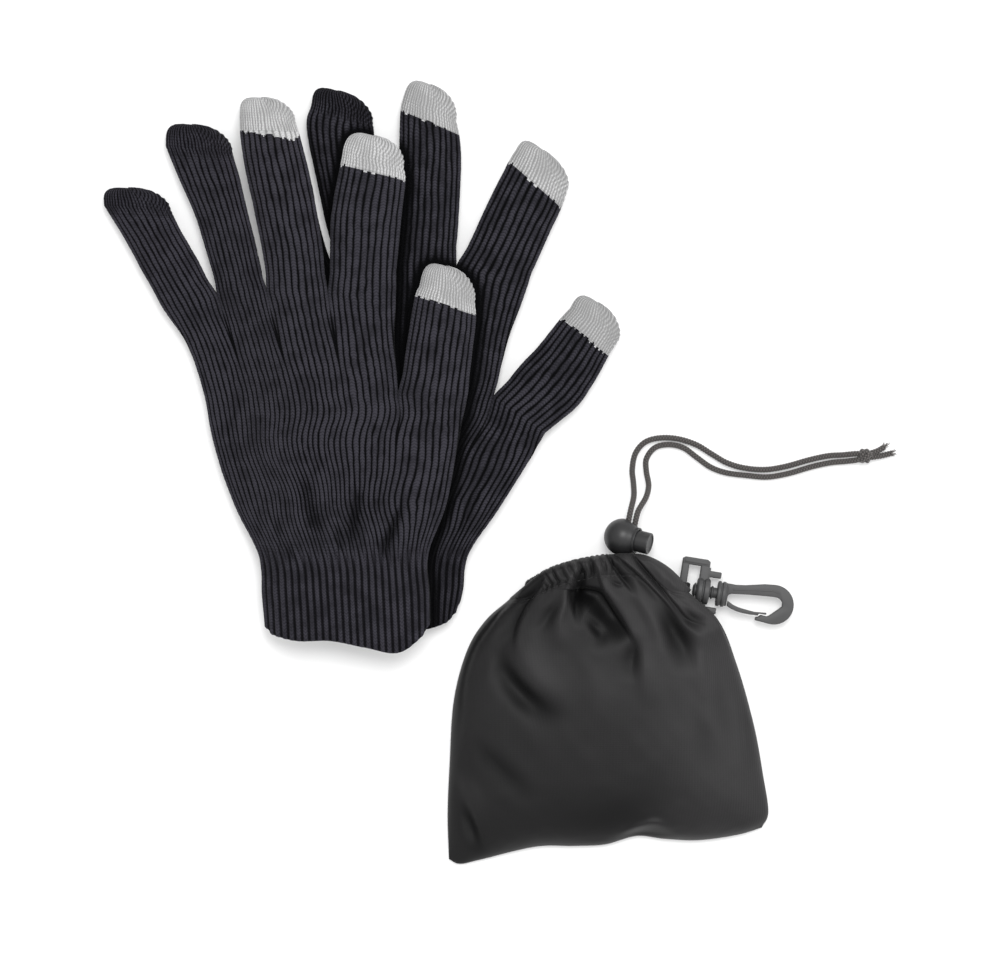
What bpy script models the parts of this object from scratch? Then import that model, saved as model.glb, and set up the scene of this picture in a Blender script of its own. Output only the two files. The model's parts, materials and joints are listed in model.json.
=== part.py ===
"""A pair of knitted touchscreen gloves with their drawcord pouch, laid out flat as they are sold.

The left glove lies partly on the right one. The pouch lies beside them, with its cord lock, its free
cord and its swivel clip. Lengths below are in millimetres, X to the right, Y along the fingers, Z up.
"""

import math

import bmesh
import bpy
import numpy as np
from mathutils import Matrix, Vector

MM = 0.001
GAP = 0.35  # between pieces that touch
FINGER_GAP = 0.6  # between a finger's side and the line it shares with its neighbour
KNIT_WALL = 1.7  # thickness of the knitted fabric
RING_POINTS = 14  # corners of a glove's cross-section
SIDE_POWER, TOP_POWER = 2.0, 2.4  # how full the cross-section is at its sides and on top

# Thickness of the flat glove, at each row from the cuff's edge to the finger roots.
GLOVE_THICKNESS = (9.6, 9.6, 9.8, 11.5, 12.0, 11.6, 11.0, 10.4)
FINGER_THICKNESS = 10.4
TIP_THICKNESS = 9.2
CUFF_TOP_ROW, THUMB_ROW, ROOT_ROW = 2, 5, 7

# Rows across each glove from the cuff's edge up: the little finger's side, the three lines that run up
# between the fingers, the line between forefinger and thumb, and the thumb's side. The thumb has
# left the palm in the last two rows. A finger is a ladder of rungs from its root to its shoulder.
# "yarn" is the rung at which the grey touch yarn starts, and "cap" the length of the rounded end.
LEFT_GLOVE = {
    "name": "left",
    "rows": (
        ((-70.5, -60), (-58, -63), (-45, -63), (-32, -65.5), (-19, -67.3), (-7.5, -58.5)),
        ((-71.5, -46), (-59, -46.5), (-46, -46.5), (-33, -47), (-20, -47.5), (-7.5, -46)),
        ((-73, -31), (-60.5, -32), (-47.5, -32), (-34, -32), (-21, -32), (-8, -31)),
        ((-82.5, -12), (-68, -12), (-54, -12), (-39, -12), (-21.5, -12), (-1, -12)),
        ((-90, 10), (-73, 10), (-57, 10), (-39.5, 10), (-20, 10), (3.2, 10)),
        ((-94, 30), (-76.5, 30), (-59, 30), (-40, 30), (-19.7, 29), (7, 29)),
        ((-100, 47.5), (-82, 48), (-64, 48), (-43, 48), (-21, 48)),
        ((-109.5, 62), (-88, 66), (-69, 67), (-46, 66.5), (-20.5, 67)),
    ),
    "fingers": {
        "little_finger": {
            "rungs": (
                ((-109.5, 62), (-88, 66)),
                ((-117, 75), (-94.5, 79)),
                ((-124, 89), (-101.5, 90)),
                ((-130.5, 101), (-107.5, 100)),
            ),
            "cap": 7.5,
            "yarn": None,
        },
        "ring_finger": {
            "rungs": (
                ((-88, 66), (-69, 67)),
                ((-92.5, 81), (-71.5, 80)),
                ((-97.5, 97), (-75.5, 97)),
                ((-103, 111), (-79.5, 111)),
                ((-108, 123.5), (-84, 121.5)),
            ),
            "cap": 9.5,
            "yarn": None,
        },
        "middle_finger": {
            "rungs": (
                ((-69, 67), (-46, 66.5)),
                ((-71.5, 83), (-47.2, 83)),
                ((-74.5, 98), (-49.5, 98)),
                ((-77.8, 113), (-52.5, 113)),
                ((-80, 127), (-57, 126.5)),
                ((-80.5, 134), (-59.5, 133)),
            ),
            "cap": 8.5,
            "yarn": 4,
        },
        "index_finger": {
            "rungs": (
                ((-46, 66.5), (-20.5, 67)),
                ((-46, 82), (-19, 82)),
                ((-45.5, 97), (-17.5, 97)),
                ((-41.9, 115.5), (-17.2, 109)),
                ((-41, 121), (-17.8, 115)),
            ),
            "cap": 10.5,
            "yarn": 3,
        },
        "thumb": {
            "rungs": (
                ((-19.7, 29), (7, 29)),
                ((-17.8, 43), (8.7, 43)),
                ((-16, 55), (9.8, 51.5)),
                ((-14, 66.5), (10.3, 58.5)),
                ((-12.5, 70), (9.8, 63.5)),
            ),
            "cap": 10.5,
            "yarn": 3,
        },
    },
}
RIGHT_GLOVE = {
    "name": "right",
    "rows": (
        ((-57, -61), (-45, -61.5), (-32, -61), (-19, -60), (-7, -58.5), (2.3, -54.5)),
        ((-56, -46), (-44, -46.5), (-32, -46.5), (-19, -46), (-7, -45.5), (4.8, -44.5)),
        ((-56, -32), (-44, -32), (-31, -32), (-18, -32), (-6, -31.5), (7, -31)),
        ((-60, -14), (-45, -14), (-30, -14), (-15, -14), (0, -14), (18.5, -14)),
        ((-60, 5), (-44, 5), (-28, 5), (-12, 5), (6, 5), (30.5, 5)),
        ((-58, 30), (-40, 30), (-22, 30), (-3, 30), (16, 28.5), (36, 14.5)),
        ((-59, 49), (-41, 51), (-22, 52), (0, 52), (21, 48)),
        ((-61.5, 65), (-42, 73), (-22, 77), (2, 78), (28.5, 69)),
    ),
    "fingers": {
        "little_finger": {
            "rungs": (
                ((-61.5, 65), (-42, 73)),
                ((-67, 80), (-47, 86)),
                ((-71, 95), (-50.5, 99)),
                ((-74.5, 108), (-54.5, 110)),
            ),
            "cap": 8.0,
            "yarn": None,
        },
        "ring_finger": {
            "rungs": (
                ((-42, 73), (-22, 77)),
                ((-47.5, 92), (-26, 93)),
                ((-51, 108), (-29, 109)),
                ((-53.8, 130), (-28.8, 126)),
                ((-52, 141.5), (-30, 134)),
            ),
            "cap": 8.0,
            "yarn": None,
        },
        "middle_finger": {
            "rungs": (
                ((-22, 77), (2, 78)),
                ((-21.5, 93), (3.4, 92)),
                ((-20.8, 108), (4.3, 107)),
                ((-20.3, 122), (4.6, 118)),
                ((-19.8, 137), (3.9, 127)),
                ((-18.8, 142), (2.5, 133)),
            ),
            "cap": 9.0,
            "yarn": 4,
        },
        "index_finger": {
            "rungs": (
                ((2, 78), (28.5, 69)),
                ((8, 90.5), (33.5, 80)),
                ((13, 101.5), (38, 90)),
                ((21.3, 118), (42.3, 99.3)),
                ((24, 122.5), (44.8, 107)),
            ),
            "cap": 6.5,
            "yarn": 3,
        },
        "thumb": {
            "rungs": (
                ((16, 28.5), (36, 14.5)),
                ((25, 40), (48, 24)),
                ((32.5, 48), (54.5, 33)),
                ((41, 58.7), (60.3, 43.5)),
                ((44.5, 62.5), (64, 49.5)),
            ),
            "cap": 8.0,
            "yarn": 3,
        },
    },
}

# The pouch: its two side seams from the mouth down to the bottom corners, and its gathered top edge.
POUCH_LEFT = ((22, -48.5), (13, -56.5), (6, -68), (1, -87), (-0.6, -112), (-1.3, -130), (-0.8, -147))
POUCH_RIGHT = ((90, -45.5), (101, -56), (108.5, -73), (115, -96), (118.5, -115), (120.5, -129), (118, -135))
POUCH_TOP = ((22, -48.5), (30, -46.9), (39, -41.8), (48, -39.0), (56, -37.3), (66, -37.0), (75, -38.6),
             (82, -43.8), (90, -45.5))
POUCH_TALL = 17.0  # height of the packed pouch on the table
POUCH_CLOTH = 0.9
CLIP_EDGE, CLIP_EDGE_REACH, CLIP_EDGE_LIFT = (94, -50), 17.0, 10.4  # where the pouch lies on its clip

# The drawcord: 2.3 mm braided cord, in a loop inside the mouth's channel, with two free strands.
CORD_RADIUS = 1.15
CHANNEL_RADIUS, CHANNEL_BORE = 2.7, 1.6
LOOP_ROUTE = (
    (62.8, -32.8, 13.0), (55, -33.8, 15.2), (47, -35.4, 15.4), (39, -38.0, 14.2), (32.5, -41.8, 10.8),
    (30.0, -43.2, 8.0), (32.5, -41.8, 5.0), (39, -38.2, 3.4), (48, -35.6, 3.2), (60, -33.8, 3.2),
    (71, -34.2, 3.2), (78, -36.6, 4.2), (81.5, -38.6, 7.6), (79, -37.0, 12.0), (75, -34.8, 14.6),
    (70.6, -32.8, 13.0),
)
LOCK_Z = 7.6
STRAND_LEFT = (
    (64.3, -33.0, 7.6), (65.5, -27.0, 7.6), (66.7, -21.0, 7.6), (68.0, -14.5, 7.3), (69.3, -9.0, 4.8),
    (69.2, -4.0, 2.4), (68.8, 1.0, 1.3), (70.0, 7.0, 1.3), (73.5, 11.2, 1.3), (79.0, 12.9, 1.3),
    (86.0, 12.6, 1.3), (93.0, 10.4, 1.3), (99.0, 6.8, 1.3), (104.5, 3.6, 1.3), (111.0, 1.6, 1.3),
    (119.0, 0.9, 1.3), (127.0, 2.1, 1.3), (136.0, 4.6, 1.3), (143.0, 6.1, 1.3), (149.0, 6.5, 1.8),
    (153.6, 6.9, 2.6),
)
STRAND_RIGHT = (
    (66.9, -33.4, 7.6), (68.1, -27.4, 7.6), (69.3, -21.4, 7.6), (70.8, -15.0, 7.3), (73.9, -9.6, 4.8),
    (75.0, -5.0, 2.4), (74.2, 0.0, 1.3), (74.2, 5.0, 1.3), (77.4, 9.2, 1.3), (82.6, 10.4, 1.3),
    (88.2, 9.2, 1.3), (93.2, 5.6, 1.3), (98.6, 1.8, 1.3), (104.5, -0.3, 1.3), (112.0, -1.3, 1.3),
    (120.0, -1.9, 1.3), (128.0, -0.6, 1.3), (137.0, 2.0, 1.3), (144.0, 3.5, 1.3), (149.4, 4.0, 1.6),
    (153.6, 4.5, 2.2),
)
STRAND_STEP = 5.0  # along the strand, between the points of its tube
KNOT_CENTRE, KNOT_RADII = (157.2, 6.2, 3.4), (3.2, 3.3, 3.1)
KNOT_TAILS = (
    ((158.5, 7.0, 3.4), (162.0, 8.0, 2.4), (165.0, 9.6, 1.7)),
    ((158.5, 5.4, 3.2), (163.0, 6.2, 1.9), (167.8, 6.9, 1.4)),
)

# The cord lock: a ball with a sprung plunger, on the strands' straight stretch.
LOCK_CENTRE = (64.9, -24.6, LOCK_Z)
LOCK_RADIUS = 7.0
LOCK_YAW, LOCK_PITCH = math.radians(-14), math.radians(20)
NECK_RADIUS, LOCK_MOUTH = 4.9, 6.2  # the ball's neck, and the distance from its centre to its open face
PLUNGER_RADIUS, PLUNGER_OUT, PLUNGER_IN = 4.1, 11.2, -1.8
PLUNGER_TRAVEL = 2.0
SPRING_RADIUS, SPRING_WIRE, SPRING_TURNS = 2.6, 0.3, 2
SPRING_PRESSED = 1.3
CORD_WINDOW = 2.95  # radius of the holes that the two strands go through

# The clip: a strap frame, a hook that turns in the frame's collar, and the hook's springy gate.
CLIP_ORIGIN, CLIP_YAW = (98.0, -45.5, 5.2), math.radians(-9)
FRAME_HALF, FRAME_BAR = 12.0, 2.8
FRAME_LEFT, FRAME_RIGHT = -12.0, -1.4
FRAME_DEEP = 3.0
COLLAR_RADIUS, COLLAR_FROM, COLLAR_TO = 5.0, -5.2, -0.2
POST_RADIUS, POST_BORE = 2.0, 2.15
HOOK_DEEP = 3.6
TAB_LOW, TAB_HIGH, TAB_REACH = -8.7, 2.3, 2.6


def smooth(x):
    """0 below 0, 1 above 1, and a smooth rise between."""
    x = min(1.0, max(0.0, x))
    return x * x * (3 - 2 * x)


def through(points, t):
    """A point on the smooth curve through points, at t counted in points."""
    p = np.asarray(points, float)
    i = int(min(max(math.floor(t), 0), len(p) - 2))
    u = t - i
    a = p[i - 1] if i > 0 else 2 * p[0] - p[1]
    d = p[i + 2] if i + 2 < len(p) else 2 * p[-1] - p[-2]
    b, c = p[i], p[i + 1]
    return 0.5 * (2 * b + (c - a) * u + (2 * a - 5 * b + 4 * c - d) * u**2 + (3 * b - 3 * c + d - a) * u**3)


def flat_on_table(x, y):
    return 0.0


def over_right_glove(x, y):
    """Height of what the left glove lies on: the table at its little finger's side, the right glove elsewhere."""
    full = 10.2 + 2.5 * smooth((y + 42) / 22) - 1.4 * smooth((y - 55) / 25)
    edge = -54 - 0.25 * max(0.0, y - 50)
    droop = smooth((y - 118) / 24) * (1 - smooth((x + 62) / 12))
    return full * smooth((x - edge + 30) / 30) * (1 - 0.8 * droop)


# ---------------------------------------------------------------- meshes


def material(name, colour, roughness, metallic=0.0):
    made = bpy.data.materials.get(name)
    if made is None:
        made = bpy.data.materials.new(name)
        made.use_nodes = True
        shader = made.node_tree.nodes["Principled BSDF"]
        shader.inputs["Base Color"].default_value = (*colour, 1)
        shader.inputs["Roughness"].default_value = roughness
        shader.inputs["Metallic"].default_value = metallic
        made.diffuse_color = (*colour, 1)
    return made


def black_knit():
    return material("black_knit", (0.03, 0.03, 0.035), 0.9)


def grey_yarn():
    return material("grey_touch_yarn", (0.5, 0.5, 0.5), 0.85)


def pouch_cloth():
    return material("pouch_cloth", (0.035, 0.035, 0.035), 0.6)


def black_cord():
    return material("black_cord", (0.06, 0.055, 0.055), 0.8)


def black_plastic():
    return material("black_plastic", (0.05, 0.05, 0.055), 0.45)


def spring_steel():
    return material("spring_steel", (0.6, 0.6, 0.62), 0.3, 1.0)


def to_object(name, mesh_edit, finish, smooth_angle=40):
    """An object from a bmesh in millimetres, with its faces turned outwards."""
    bmesh.ops.scale(mesh_edit, vec=(MM, MM, MM), verts=mesh_edit.verts)
    bmesh.ops.recalc_face_normals(mesh_edit, faces=mesh_edit.faces)
    if mesh_edit.calc_volume(signed=True) < 0:
        bmesh.ops.reverse_faces(mesh_edit, faces=mesh_edit.faces)
    mesh = bpy.data.meshes.new(name)
    mesh_edit.to_mesh(mesh)
    mesh_edit.free()
    mesh.shade_smooth()
    mesh.set_sharp_from_angle(angle=math.radians(smooth_angle))
    mesh.materials.append(finish)
    made = bpy.data.objects.new(name, mesh)
    bpy.context.scene.collection.objects.link(made)
    return made


def skin(rings, poles=None):
    """A closed surface through rings of points, back to the first ring. With poles = (i, outer, inner),
    ring i is closed by a fan to the outer point and ring i + 1 by one to the inner point."""
    made = bmesh.new()
    loops = [[made.verts.new(p) for p in ring] for ring in rings]
    count = len(loops[0])
    for i, ring in enumerate(loops):
        following = loops[(i + 1) % len(loops)]
        if poles and i == poles[0]:
            for loop, pole in ((ring, poles[1]), (following, poles[2])):
                tip = made.verts.new(pole)
                for k in range(count):
                    made.faces.new((loop[k], loop[(k + 1) % count], tip))
            continue
        for k in range(count):
            made.faces.new((ring[k], ring[(k + 1) % count], following[(k + 1) % count], following[k]))
    return made


def solid_of_rings(rings):
    """A closed solid through rings of points, with a flat face at each end."""
    made = bmesh.new()
    loops = [[made.verts.new(p) for p in ring] for ring in rings]
    count = len(loops[0])
    for ring, following in zip(loops, loops[1:]):
        for k in range(count):
            made.faces.new((ring[k], ring[(k + 1) % count], following[(k + 1) % count], following[k]))
    made.faces.new(loops[0][::-1])
    made.faces.new(loops[-1])
    return made


def helper(made):
    made.hide_render = True
    made.display_type = "WIRE"
    return made


def cut(target, cutter, operation="DIFFERENCE"):
    step = target.modifiers.new(operation.lower() + "_" + cutter.name, "BOOLEAN")
    step.operation = operation
    step.solver = "EXACT"
    step.object = helper(cutter)


# ---------------------------------------------------------------- gloves


def across(row, share):
    """The point at a share of the way along a row."""
    row = np.asarray(row, float)
    along = np.concatenate([[0], np.cumsum(np.linalg.norm(np.diff(row, axis=0), axis=1))])
    at = share * along[-1]
    return np.array([np.interp(at, along, row[:, 0]), np.interp(at, along, row[:, 1])])


def section(row, thickness, inset, resting, narrow=0.0):
    """A ring round the flat tube over a row: an outline, or the fabric's inner face inset from it."""
    row = np.asarray(row, float)
    length = float(np.linalg.norm(np.diff(row, axis=0), axis=1).sum())
    ring = []
    for k in range(RING_POINTS):
        a = 2 * math.pi * (k + 0.5) / RING_POINTS
        c, s = math.cos(a), math.sin(a)
        side = math.copysign(abs(c) ** (2 / SIDE_POWER), c) * (0.5 - (inset + narrow) / length)
        up = math.copysign(abs(s) ** (2 / TOP_POWER), s) * (thickness / 2 - inset)
        x, y = across(row, 0.5 + side)
        ring.append((x, y, resting(x, y) + thickness / 2 + up))
    return ring


def glove_row(glove, t, lines):
    """The row at t, as its crossings with the first so many lines."""
    rows = glove["rows"][: THUMB_ROW + 1] if lines == 6 else glove["rows"]
    return [through([row[k] for row in rows], t) for k in range(lines)]


def glove_thickness(t):
    return float(np.interp(t, range(len(GLOVE_THICKNESS)), GLOVE_THICKNESS))


def make_cuff(glove, resting):
    places = (0.0, 0.7, 1.4, CUFF_TOP_ROW - 0.03)
    outer = [section(glove_row(glove, t, 6), glove_thickness(t), 0, resting) for t in places]
    inner = [section(glove_row(glove, t, 6), glove_thickness(t), KNIT_WALL, resting) for t in places]
    return to_object(glove["name"] + "_cuff", skin(outer + inner[::-1]), black_knit())


def make_palm(glove, resting):
    step = THUMB_ROW - 0.06

    def rings(low, wide_to, high, inset):
        wide = [low, 2.4, 3.0, 4.0, wide_to]
        tall = [wide_to + 0.05, 6.0, high]
        made = [section(glove_row(glove, t, 6), glove_thickness(t), inset, resting) for t in wide]
        return made + [section(glove_row(glove, t, 5), glove_thickness(t), inset, resting) for t in tall]

    palm = to_object(glove["name"] + "_palm", solid_of_rings(rings(2.0, step, ROOT_ROW - 0.02, 0)), black_knit())
    hollow = to_object(glove["name"] + "_hand_hollow", solid_of_rings(rings(1.8, step - 0.1, ROOT_ROW + 0.2, KNIT_WALL)), black_knit())
    root = np.asarray(glove["fingers"]["thumb"]["rungs"][0], float)
    ahead = np.array([-(root[1] - root[0])[1], (root[1] - root[0])[0]])
    ahead /= np.linalg.norm(ahead)
    thick = glove_thickness(THUMB_ROW)
    reach = [section(root + ahead * far, thick, KNIT_WALL + 0.4, resting) for far in (-9.0, 4.0)]
    thumb_hole = to_object(glove["name"] + "_thumb_hollow", solid_of_rings(reach), black_knit())
    cut(palm, hollow)
    cut(palm, thumb_hole)
    return palm


def finger_section(finger, t, inset, resting):
    """The ring at t rungs from the root. Past the last rung, t goes on to one more at the cap's end."""
    rungs = finger["rungs"]
    last = len(rungs) - 1
    left, right = (through([rung[k] for rung in rungs], min(t, last)) for k in (0, 1))
    thickness = FINGER_THICKNESS + (TIP_THICKNESS - FINGER_THICKNESS) * min(t, last) / last
    if t <= last:
        return section((left, right), thickness, inset, resting, FINGER_GAP)
    turn = (t - last) * math.pi / 2
    middle, half = (left + right) / 2, (right - left) / 2
    ahead = np.array([-half[1], half[0]]) / np.linalg.norm(half)
    share = 1 - (inset + FINGER_GAP) / np.linalg.norm(half)
    centre = middle + ahead * (finger["cap"] - inset) * math.sin(turn)
    half = half * share * math.cos(turn) ** 0.75
    lift = resting(*centre) + thickness / 2
    tall = (thickness / 2 - inset) * math.cos(turn) ** 0.6
    ring = []
    for k in range(RING_POINTS):
        a = 2 * math.pi * (k + 0.5) / RING_POINTS
        c, s = math.cos(a), math.sin(a)
        x, y = centre + half * math.copysign(abs(c) ** (2 / SIDE_POWER), c)
        ring.append((x, y, lift + math.copysign(abs(s) ** (2 / TOP_POWER), s) * tall))
    return ring


def cap_end(finger, inset, resting):
    left, right = (np.asarray(p, float) for p in finger["rungs"][-1])
    half = (right - left) / 2
    ahead = np.array([-half[1], half[0]]) / np.linalg.norm(half)
    x, y = (left + right) / 2 + ahead * (finger["cap"] - inset)
    return (x, y, resting(x, y) + TIP_THICKNESS / 2)


def make_finger(glove, name, resting):
    """One finger's knitted tube, with its touch-yarn tip as a piece of its own where it has one."""
    finger = glove["fingers"][name]
    last = len(finger["rungs"]) - 1
    yarn = finger["yarn"]
    full_name = f"{glove['name']}_{name}"
    turn_in = [last + share for share in (0.35, 0.65, 0.88)]

    def closed(name, places, finish):
        outer = [finger_section(finger, t, 0, resting) for t in places]
        inner = [finger_section(finger, t, KNIT_WALL, resting) for t in places]
        poles = (len(places) - 1, cap_end(finger, 0, resting), cap_end(finger, KNIT_WALL, resting))
        return to_object(name, skin(outer + inner[::-1], poles), finish)

    if yarn is None:
        return [closed(full_name, list(range(last + 1)) + turn_in, black_knit())]
    tube_places = list(range(yarn)) + [yarn - 0.02]
    outer = [finger_section(finger, t, 0, resting) for t in tube_places]
    inner = [finger_section(finger, t, KNIT_WALL, resting) for t in tube_places]
    tube = to_object(full_name, skin(outer + inner[::-1]), black_knit())
    tip_places = [yarn + 0.04] + list(range(yarn + 1, last + 1)) + turn_in
    return [tube, closed(full_name + "_touch_tip", tip_places, grey_yarn())]


def make_glove(glove, resting):
    make_cuff(glove, resting)
    make_palm(glove, resting)
    for name in glove["fingers"]:
        make_finger(glove, name, resting)


# ---------------------------------------------------------------- pouch


def pouch_edge_lift(x, y):
    """How far the pouch's edge is held up by the clip under it."""
    far = math.hypot(x - CLIP_EDGE[0], y - CLIP_EDGE[1])
    return CLIP_EDGE_LIFT * smooth(1.6 - far / CLIP_EDGE_REACH)


def pouch_height(side, down):
    """Height of the front cloth above the back one, at side -1 to 1 across and down 0 to 1."""
    across_share = max(0.0, 1 - abs(side) ** 3.0) ** 0.55
    bottom = max(0.0, 1 - down**6) ** 0.6
    return (POUCH_TALL - 2 * POUCH_CLOTH) * across_share * bottom


def pouch_sheet(name, bottom_of, columns=14, rows=10):
    """A sheet of cloth over the pouch's outline, its lower face at the height that bottom_of gives."""
    made = bmesh.new()
    layers = []
    for above in (0.0, POUCH_CLOTH):
        grid = []
        for j in range(rows + 1):
            down = j / rows
            left, right = (through(edge, down * (len(edge) - 1)) for edge in (POUCH_LEFT, POUCH_RIGHT))
            line = []
            for i in range(columns + 1):
                side = -1 + 2 * i / columns
                straight = POUCH_LEFT[0] + (np.subtract(POUCH_RIGHT[0], POUCH_LEFT[0])) * (side + 1) / 2
                gathered = through(POUCH_TOP, (side + 1) / 2 * (len(POUCH_TOP) - 1))
                x, y = left + (right - left) * (side + 1) / 2 + (gathered - straight) * (1 - down) ** 2
                line.append(made.verts.new((x, y, bottom_of(side, down, x, y) + above)))
            grid.append(line)
        layers.append(grid)
    low, high = layers
    for j in range(rows):
        for i in range(columns):
            for grid in (low, high):
                made.faces.new((grid[j][i], grid[j][i + 1], grid[j + 1][i + 1], grid[j + 1][i]))
    edge = [(0, i) for i in range(columns)] + [(j, columns) for j in range(rows)]
    edge += [(rows, i) for i in range(columns, 0, -1)] + [(j, 0) for j in range(rows, 0, -1)]
    for (a, b), (c, d) in zip(edge, edge[1:] + edge[:1]):
        made.faces.new((low[a][b], low[c][d], high[c][d], high[a][b]))
    return to_object(name, made, pouch_cloth())


def make_pouch():
    def back(side, down, x, y):
        return 0.02 + pouch_edge_lift(x, y)

    def front(side, down, x, y):
        full = pouch_height(side, down)
        held_up = pouch_edge_lift(x, y)
        return POUCH_CLOTH + GAP + max(full, held_up + 0.15 * full)

    pouch_sheet("pouch_back", back)
    pouch_sheet("pouch_front", front)


def tube_along(name, route, radius, finish, sides=2):
    """A round cord along points that are close together."""
    line = bpy.data.curves.new(name, "CURVE")
    line.dimensions = "3D"
    spline = line.splines.new("POLY")
    spline.points.add(len(route) - 1)
    for point, place in zip(spline.points, route):
        point.co = (*(c * MM for c in place), 1)
    line.bevel_depth = radius * MM
    line.bevel_resolution = sides
    line.use_fill_caps = True
    line.materials.append(finish)
    made = bpy.data.objects.new(name, line)
    bpy.context.scene.collection.objects.link(made)
    return made


def even_points(route, step, start=0.0, end=None):
    """Points a step apart on the smooth curve through a route, between two places counted in its points."""
    end = len(route) - 1 if end is None else end
    fine = np.array([through(route, t) for t in np.linspace(start, end, 600)])
    along = np.concatenate([[0], np.cumsum(np.linalg.norm(np.diff(fine, axis=0), axis=1))])
    at = np.linspace(0, along[-1], max(2, round(along[-1] / step) + 1))
    return np.stack([np.interp(at, along, fine[:, k]) for k in range(3)], axis=1)


def rings_along(route, radius, sides=10):
    """Round rings across a route that never heads along Y."""
    rings = []
    for i, place in enumerate(route):
        along = Vector(route[min(i + 1, len(route) - 1)] - route[max(i - 1, 0)]).normalized()
        first = along.cross(Vector((0, 1, 0))).normalized()
        second = along.cross(first)
        turns = [2 * math.pi * k / sides for k in range(sides)]
        rings.append([Vector(place) + radius * (first * math.cos(a) + second * math.sin(a)) for a in turns])
    return rings


def make_drawcord():
    loop = even_points(LOOP_ROUTE, 4.0)
    outside = rings_along(loop[1:-1], CHANNEL_RADIUS)
    bore = rings_along(loop[1:-1], CHANNEL_BORE)
    to_object("pouch_mouth_channel", skin(outside + bore[::-1]), pouch_cloth())
    tube_along("drawcord_loop", loop, CORD_RADIUS, black_cord())
    for name, route in (("drawcord_strand_left", STRAND_LEFT), ("drawcord_strand_right", STRAND_RIGHT)):
        tube_along(name, even_points(route, STRAND_STEP), CORD_RADIUS, black_cord())
    knot = bmesh.new()
    bmesh.ops.create_icosphere(knot, subdivisions=2, radius=1)
    bmesh.ops.scale(knot, vec=KNOT_RADII, verts=knot.verts)
    bmesh.ops.translate(knot, vec=KNOT_CENTRE, verts=knot.verts)
    knot = to_object("drawcord_knot", knot, black_cord())
    for i, tail in enumerate(KNOT_TAILS):
        rings = rings_along(even_points(tail, 2.0), CORD_RADIUS, 8)
        cut(knot, to_object(f"knot_tail_{i}", solid_of_rings(rings), black_cord()), "UNION")


# ---------------------------------------------------------------- cord lock


def turned(profile, sides=24):
    """A solid of revolution about Z through (radius, height) points that start and end on the axis."""
    made = bmesh.new()
    rings = []
    for radius, height in profile:
        if radius == 0:
            rings.append([made.verts.new((0, 0, height))])
            continue
        ring = []
        for k in range(sides):
            a = 2 * math.pi * k / sides
            ring.append(made.verts.new((radius * math.cos(a), radius * math.sin(a), height)))
        rings.append(ring)
    for low, high in zip(rings, rings[1:]):
        for k in range(sides):
            following = (k + 1) % sides
            if len(low) == 1:
                made.faces.new((low[0], high[k], high[following]))
            elif len(high) == 1:
                made.faces.new((low[k], low[following], high[0]))
            else:
                made.faces.new((low[k], low[following], high[following], high[k]))
    return made


def place_mesh(made, matrix):
    bmesh.ops.transform(made, matrix=matrix, verts=made.verts)
    return made


def lock_matrix():
    """Takes the lock's own frame, its axis along Z from the ball to the button, to the layout's."""
    yaw, pitch = Matrix.Rotation(LOCK_YAW, 4, "Z"), Matrix.Rotation(math.pi / 2 - LOCK_PITCH, 4, "Y")
    return Matrix.Translation(LOCK_CENTRE) @ yaw @ pitch


def cord_window(name, radius, stretch=0.0):
    """A cutter along the strands' straight stretch, stretched towards the lock's button if asked."""
    low, high = np.array(STRAND_LEFT[0]), np.array(STRAND_LEFT[2])
    other = np.array(STRAND_RIGHT[0])
    along = Vector(high - low).normalized()
    middle = Vector((low + high) / 2 + (other - low) / 2)
    axis = (lock_matrix().to_3x3() @ Vector((0, 0, 1)))
    axis = (axis - along * axis.dot(along)).normalized()
    up = along.cross(axis)
    rings = []
    for end in (-16, 16):
        ring = []
        for k in range(16):
            a = 2 * math.pi * (k + 0.5) / 16
            far = radius * math.cos(a) + (stretch if math.cos(a) > 0 else 0.0)
            ring.append(middle + along * end + axis * far + up * radius * math.sin(a))
        rings.append(ring)
    return to_object(name, solid_of_rings(rings), black_plastic())


def make_cord_lock():
    at = lock_matrix()
    bore = PLUNGER_RADIUS + 0.15
    floor = PLUNGER_IN - PLUNGER_TRAVEL - SPRING_PRESSED
    steps = 9
    low, high = -math.pi / 2, math.acos(NECK_RADIUS / LOCK_RADIUS)
    ball = [(0, -LOCK_RADIUS)]
    for i in range(1, steps + 1):
        a = low + (high - low) * i / steps
        ball.append((LOCK_RADIUS * math.cos(a), LOCK_RADIUS * math.sin(a)))
    ball += [(NECK_RADIUS, LOCK_MOUTH), (bore, LOCK_MOUTH), (bore, floor), (0, floor)]
    barrel = to_object("cord_lock_barrel", place_mesh(turned(ball), at), black_plastic())
    cut(barrel, cord_window("barrel_window", CORD_WINDOW))
    r = PLUNGER_RADIUS
    shape = [(0, PLUNGER_IN), (r, PLUNGER_IN), (r, PLUNGER_OUT - 0.5), (r - 0.5, PLUNGER_OUT), (0, PLUNGER_OUT - 0.35)]
    plunger = to_object("cord_lock_plunger", place_mesh(turned(shape), at), black_plastic())
    cut(plunger, cord_window("plunger_window", CORD_WINDOW, PLUNGER_TRAVEL))
    low, high = floor + SPRING_WIRE + GAP, PLUNGER_IN - SPRING_WIRE - GAP
    rings = []
    for i in range(SPRING_TURNS * 10 + 1):
        a = 2 * math.pi * i / 10
        z = low + (high - low) * i / (SPRING_TURNS * 10)
        centre = Vector((SPRING_RADIUS * math.cos(a), SPRING_RADIUS * math.sin(a), z))
        out = Vector((math.cos(a), math.sin(a), 0))
        ring = [centre + SPRING_WIRE * (out * math.cos(b) + Vector((0, 0, 1)) * math.sin(b))
                for b in np.arange(6) * math.pi / 3]
        rings.append(ring)
    to_object("cord_lock_spring", place_mesh(solid_of_rings(rings), at), spring_steel())


# ---------------------------------------------------------------- clip


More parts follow.
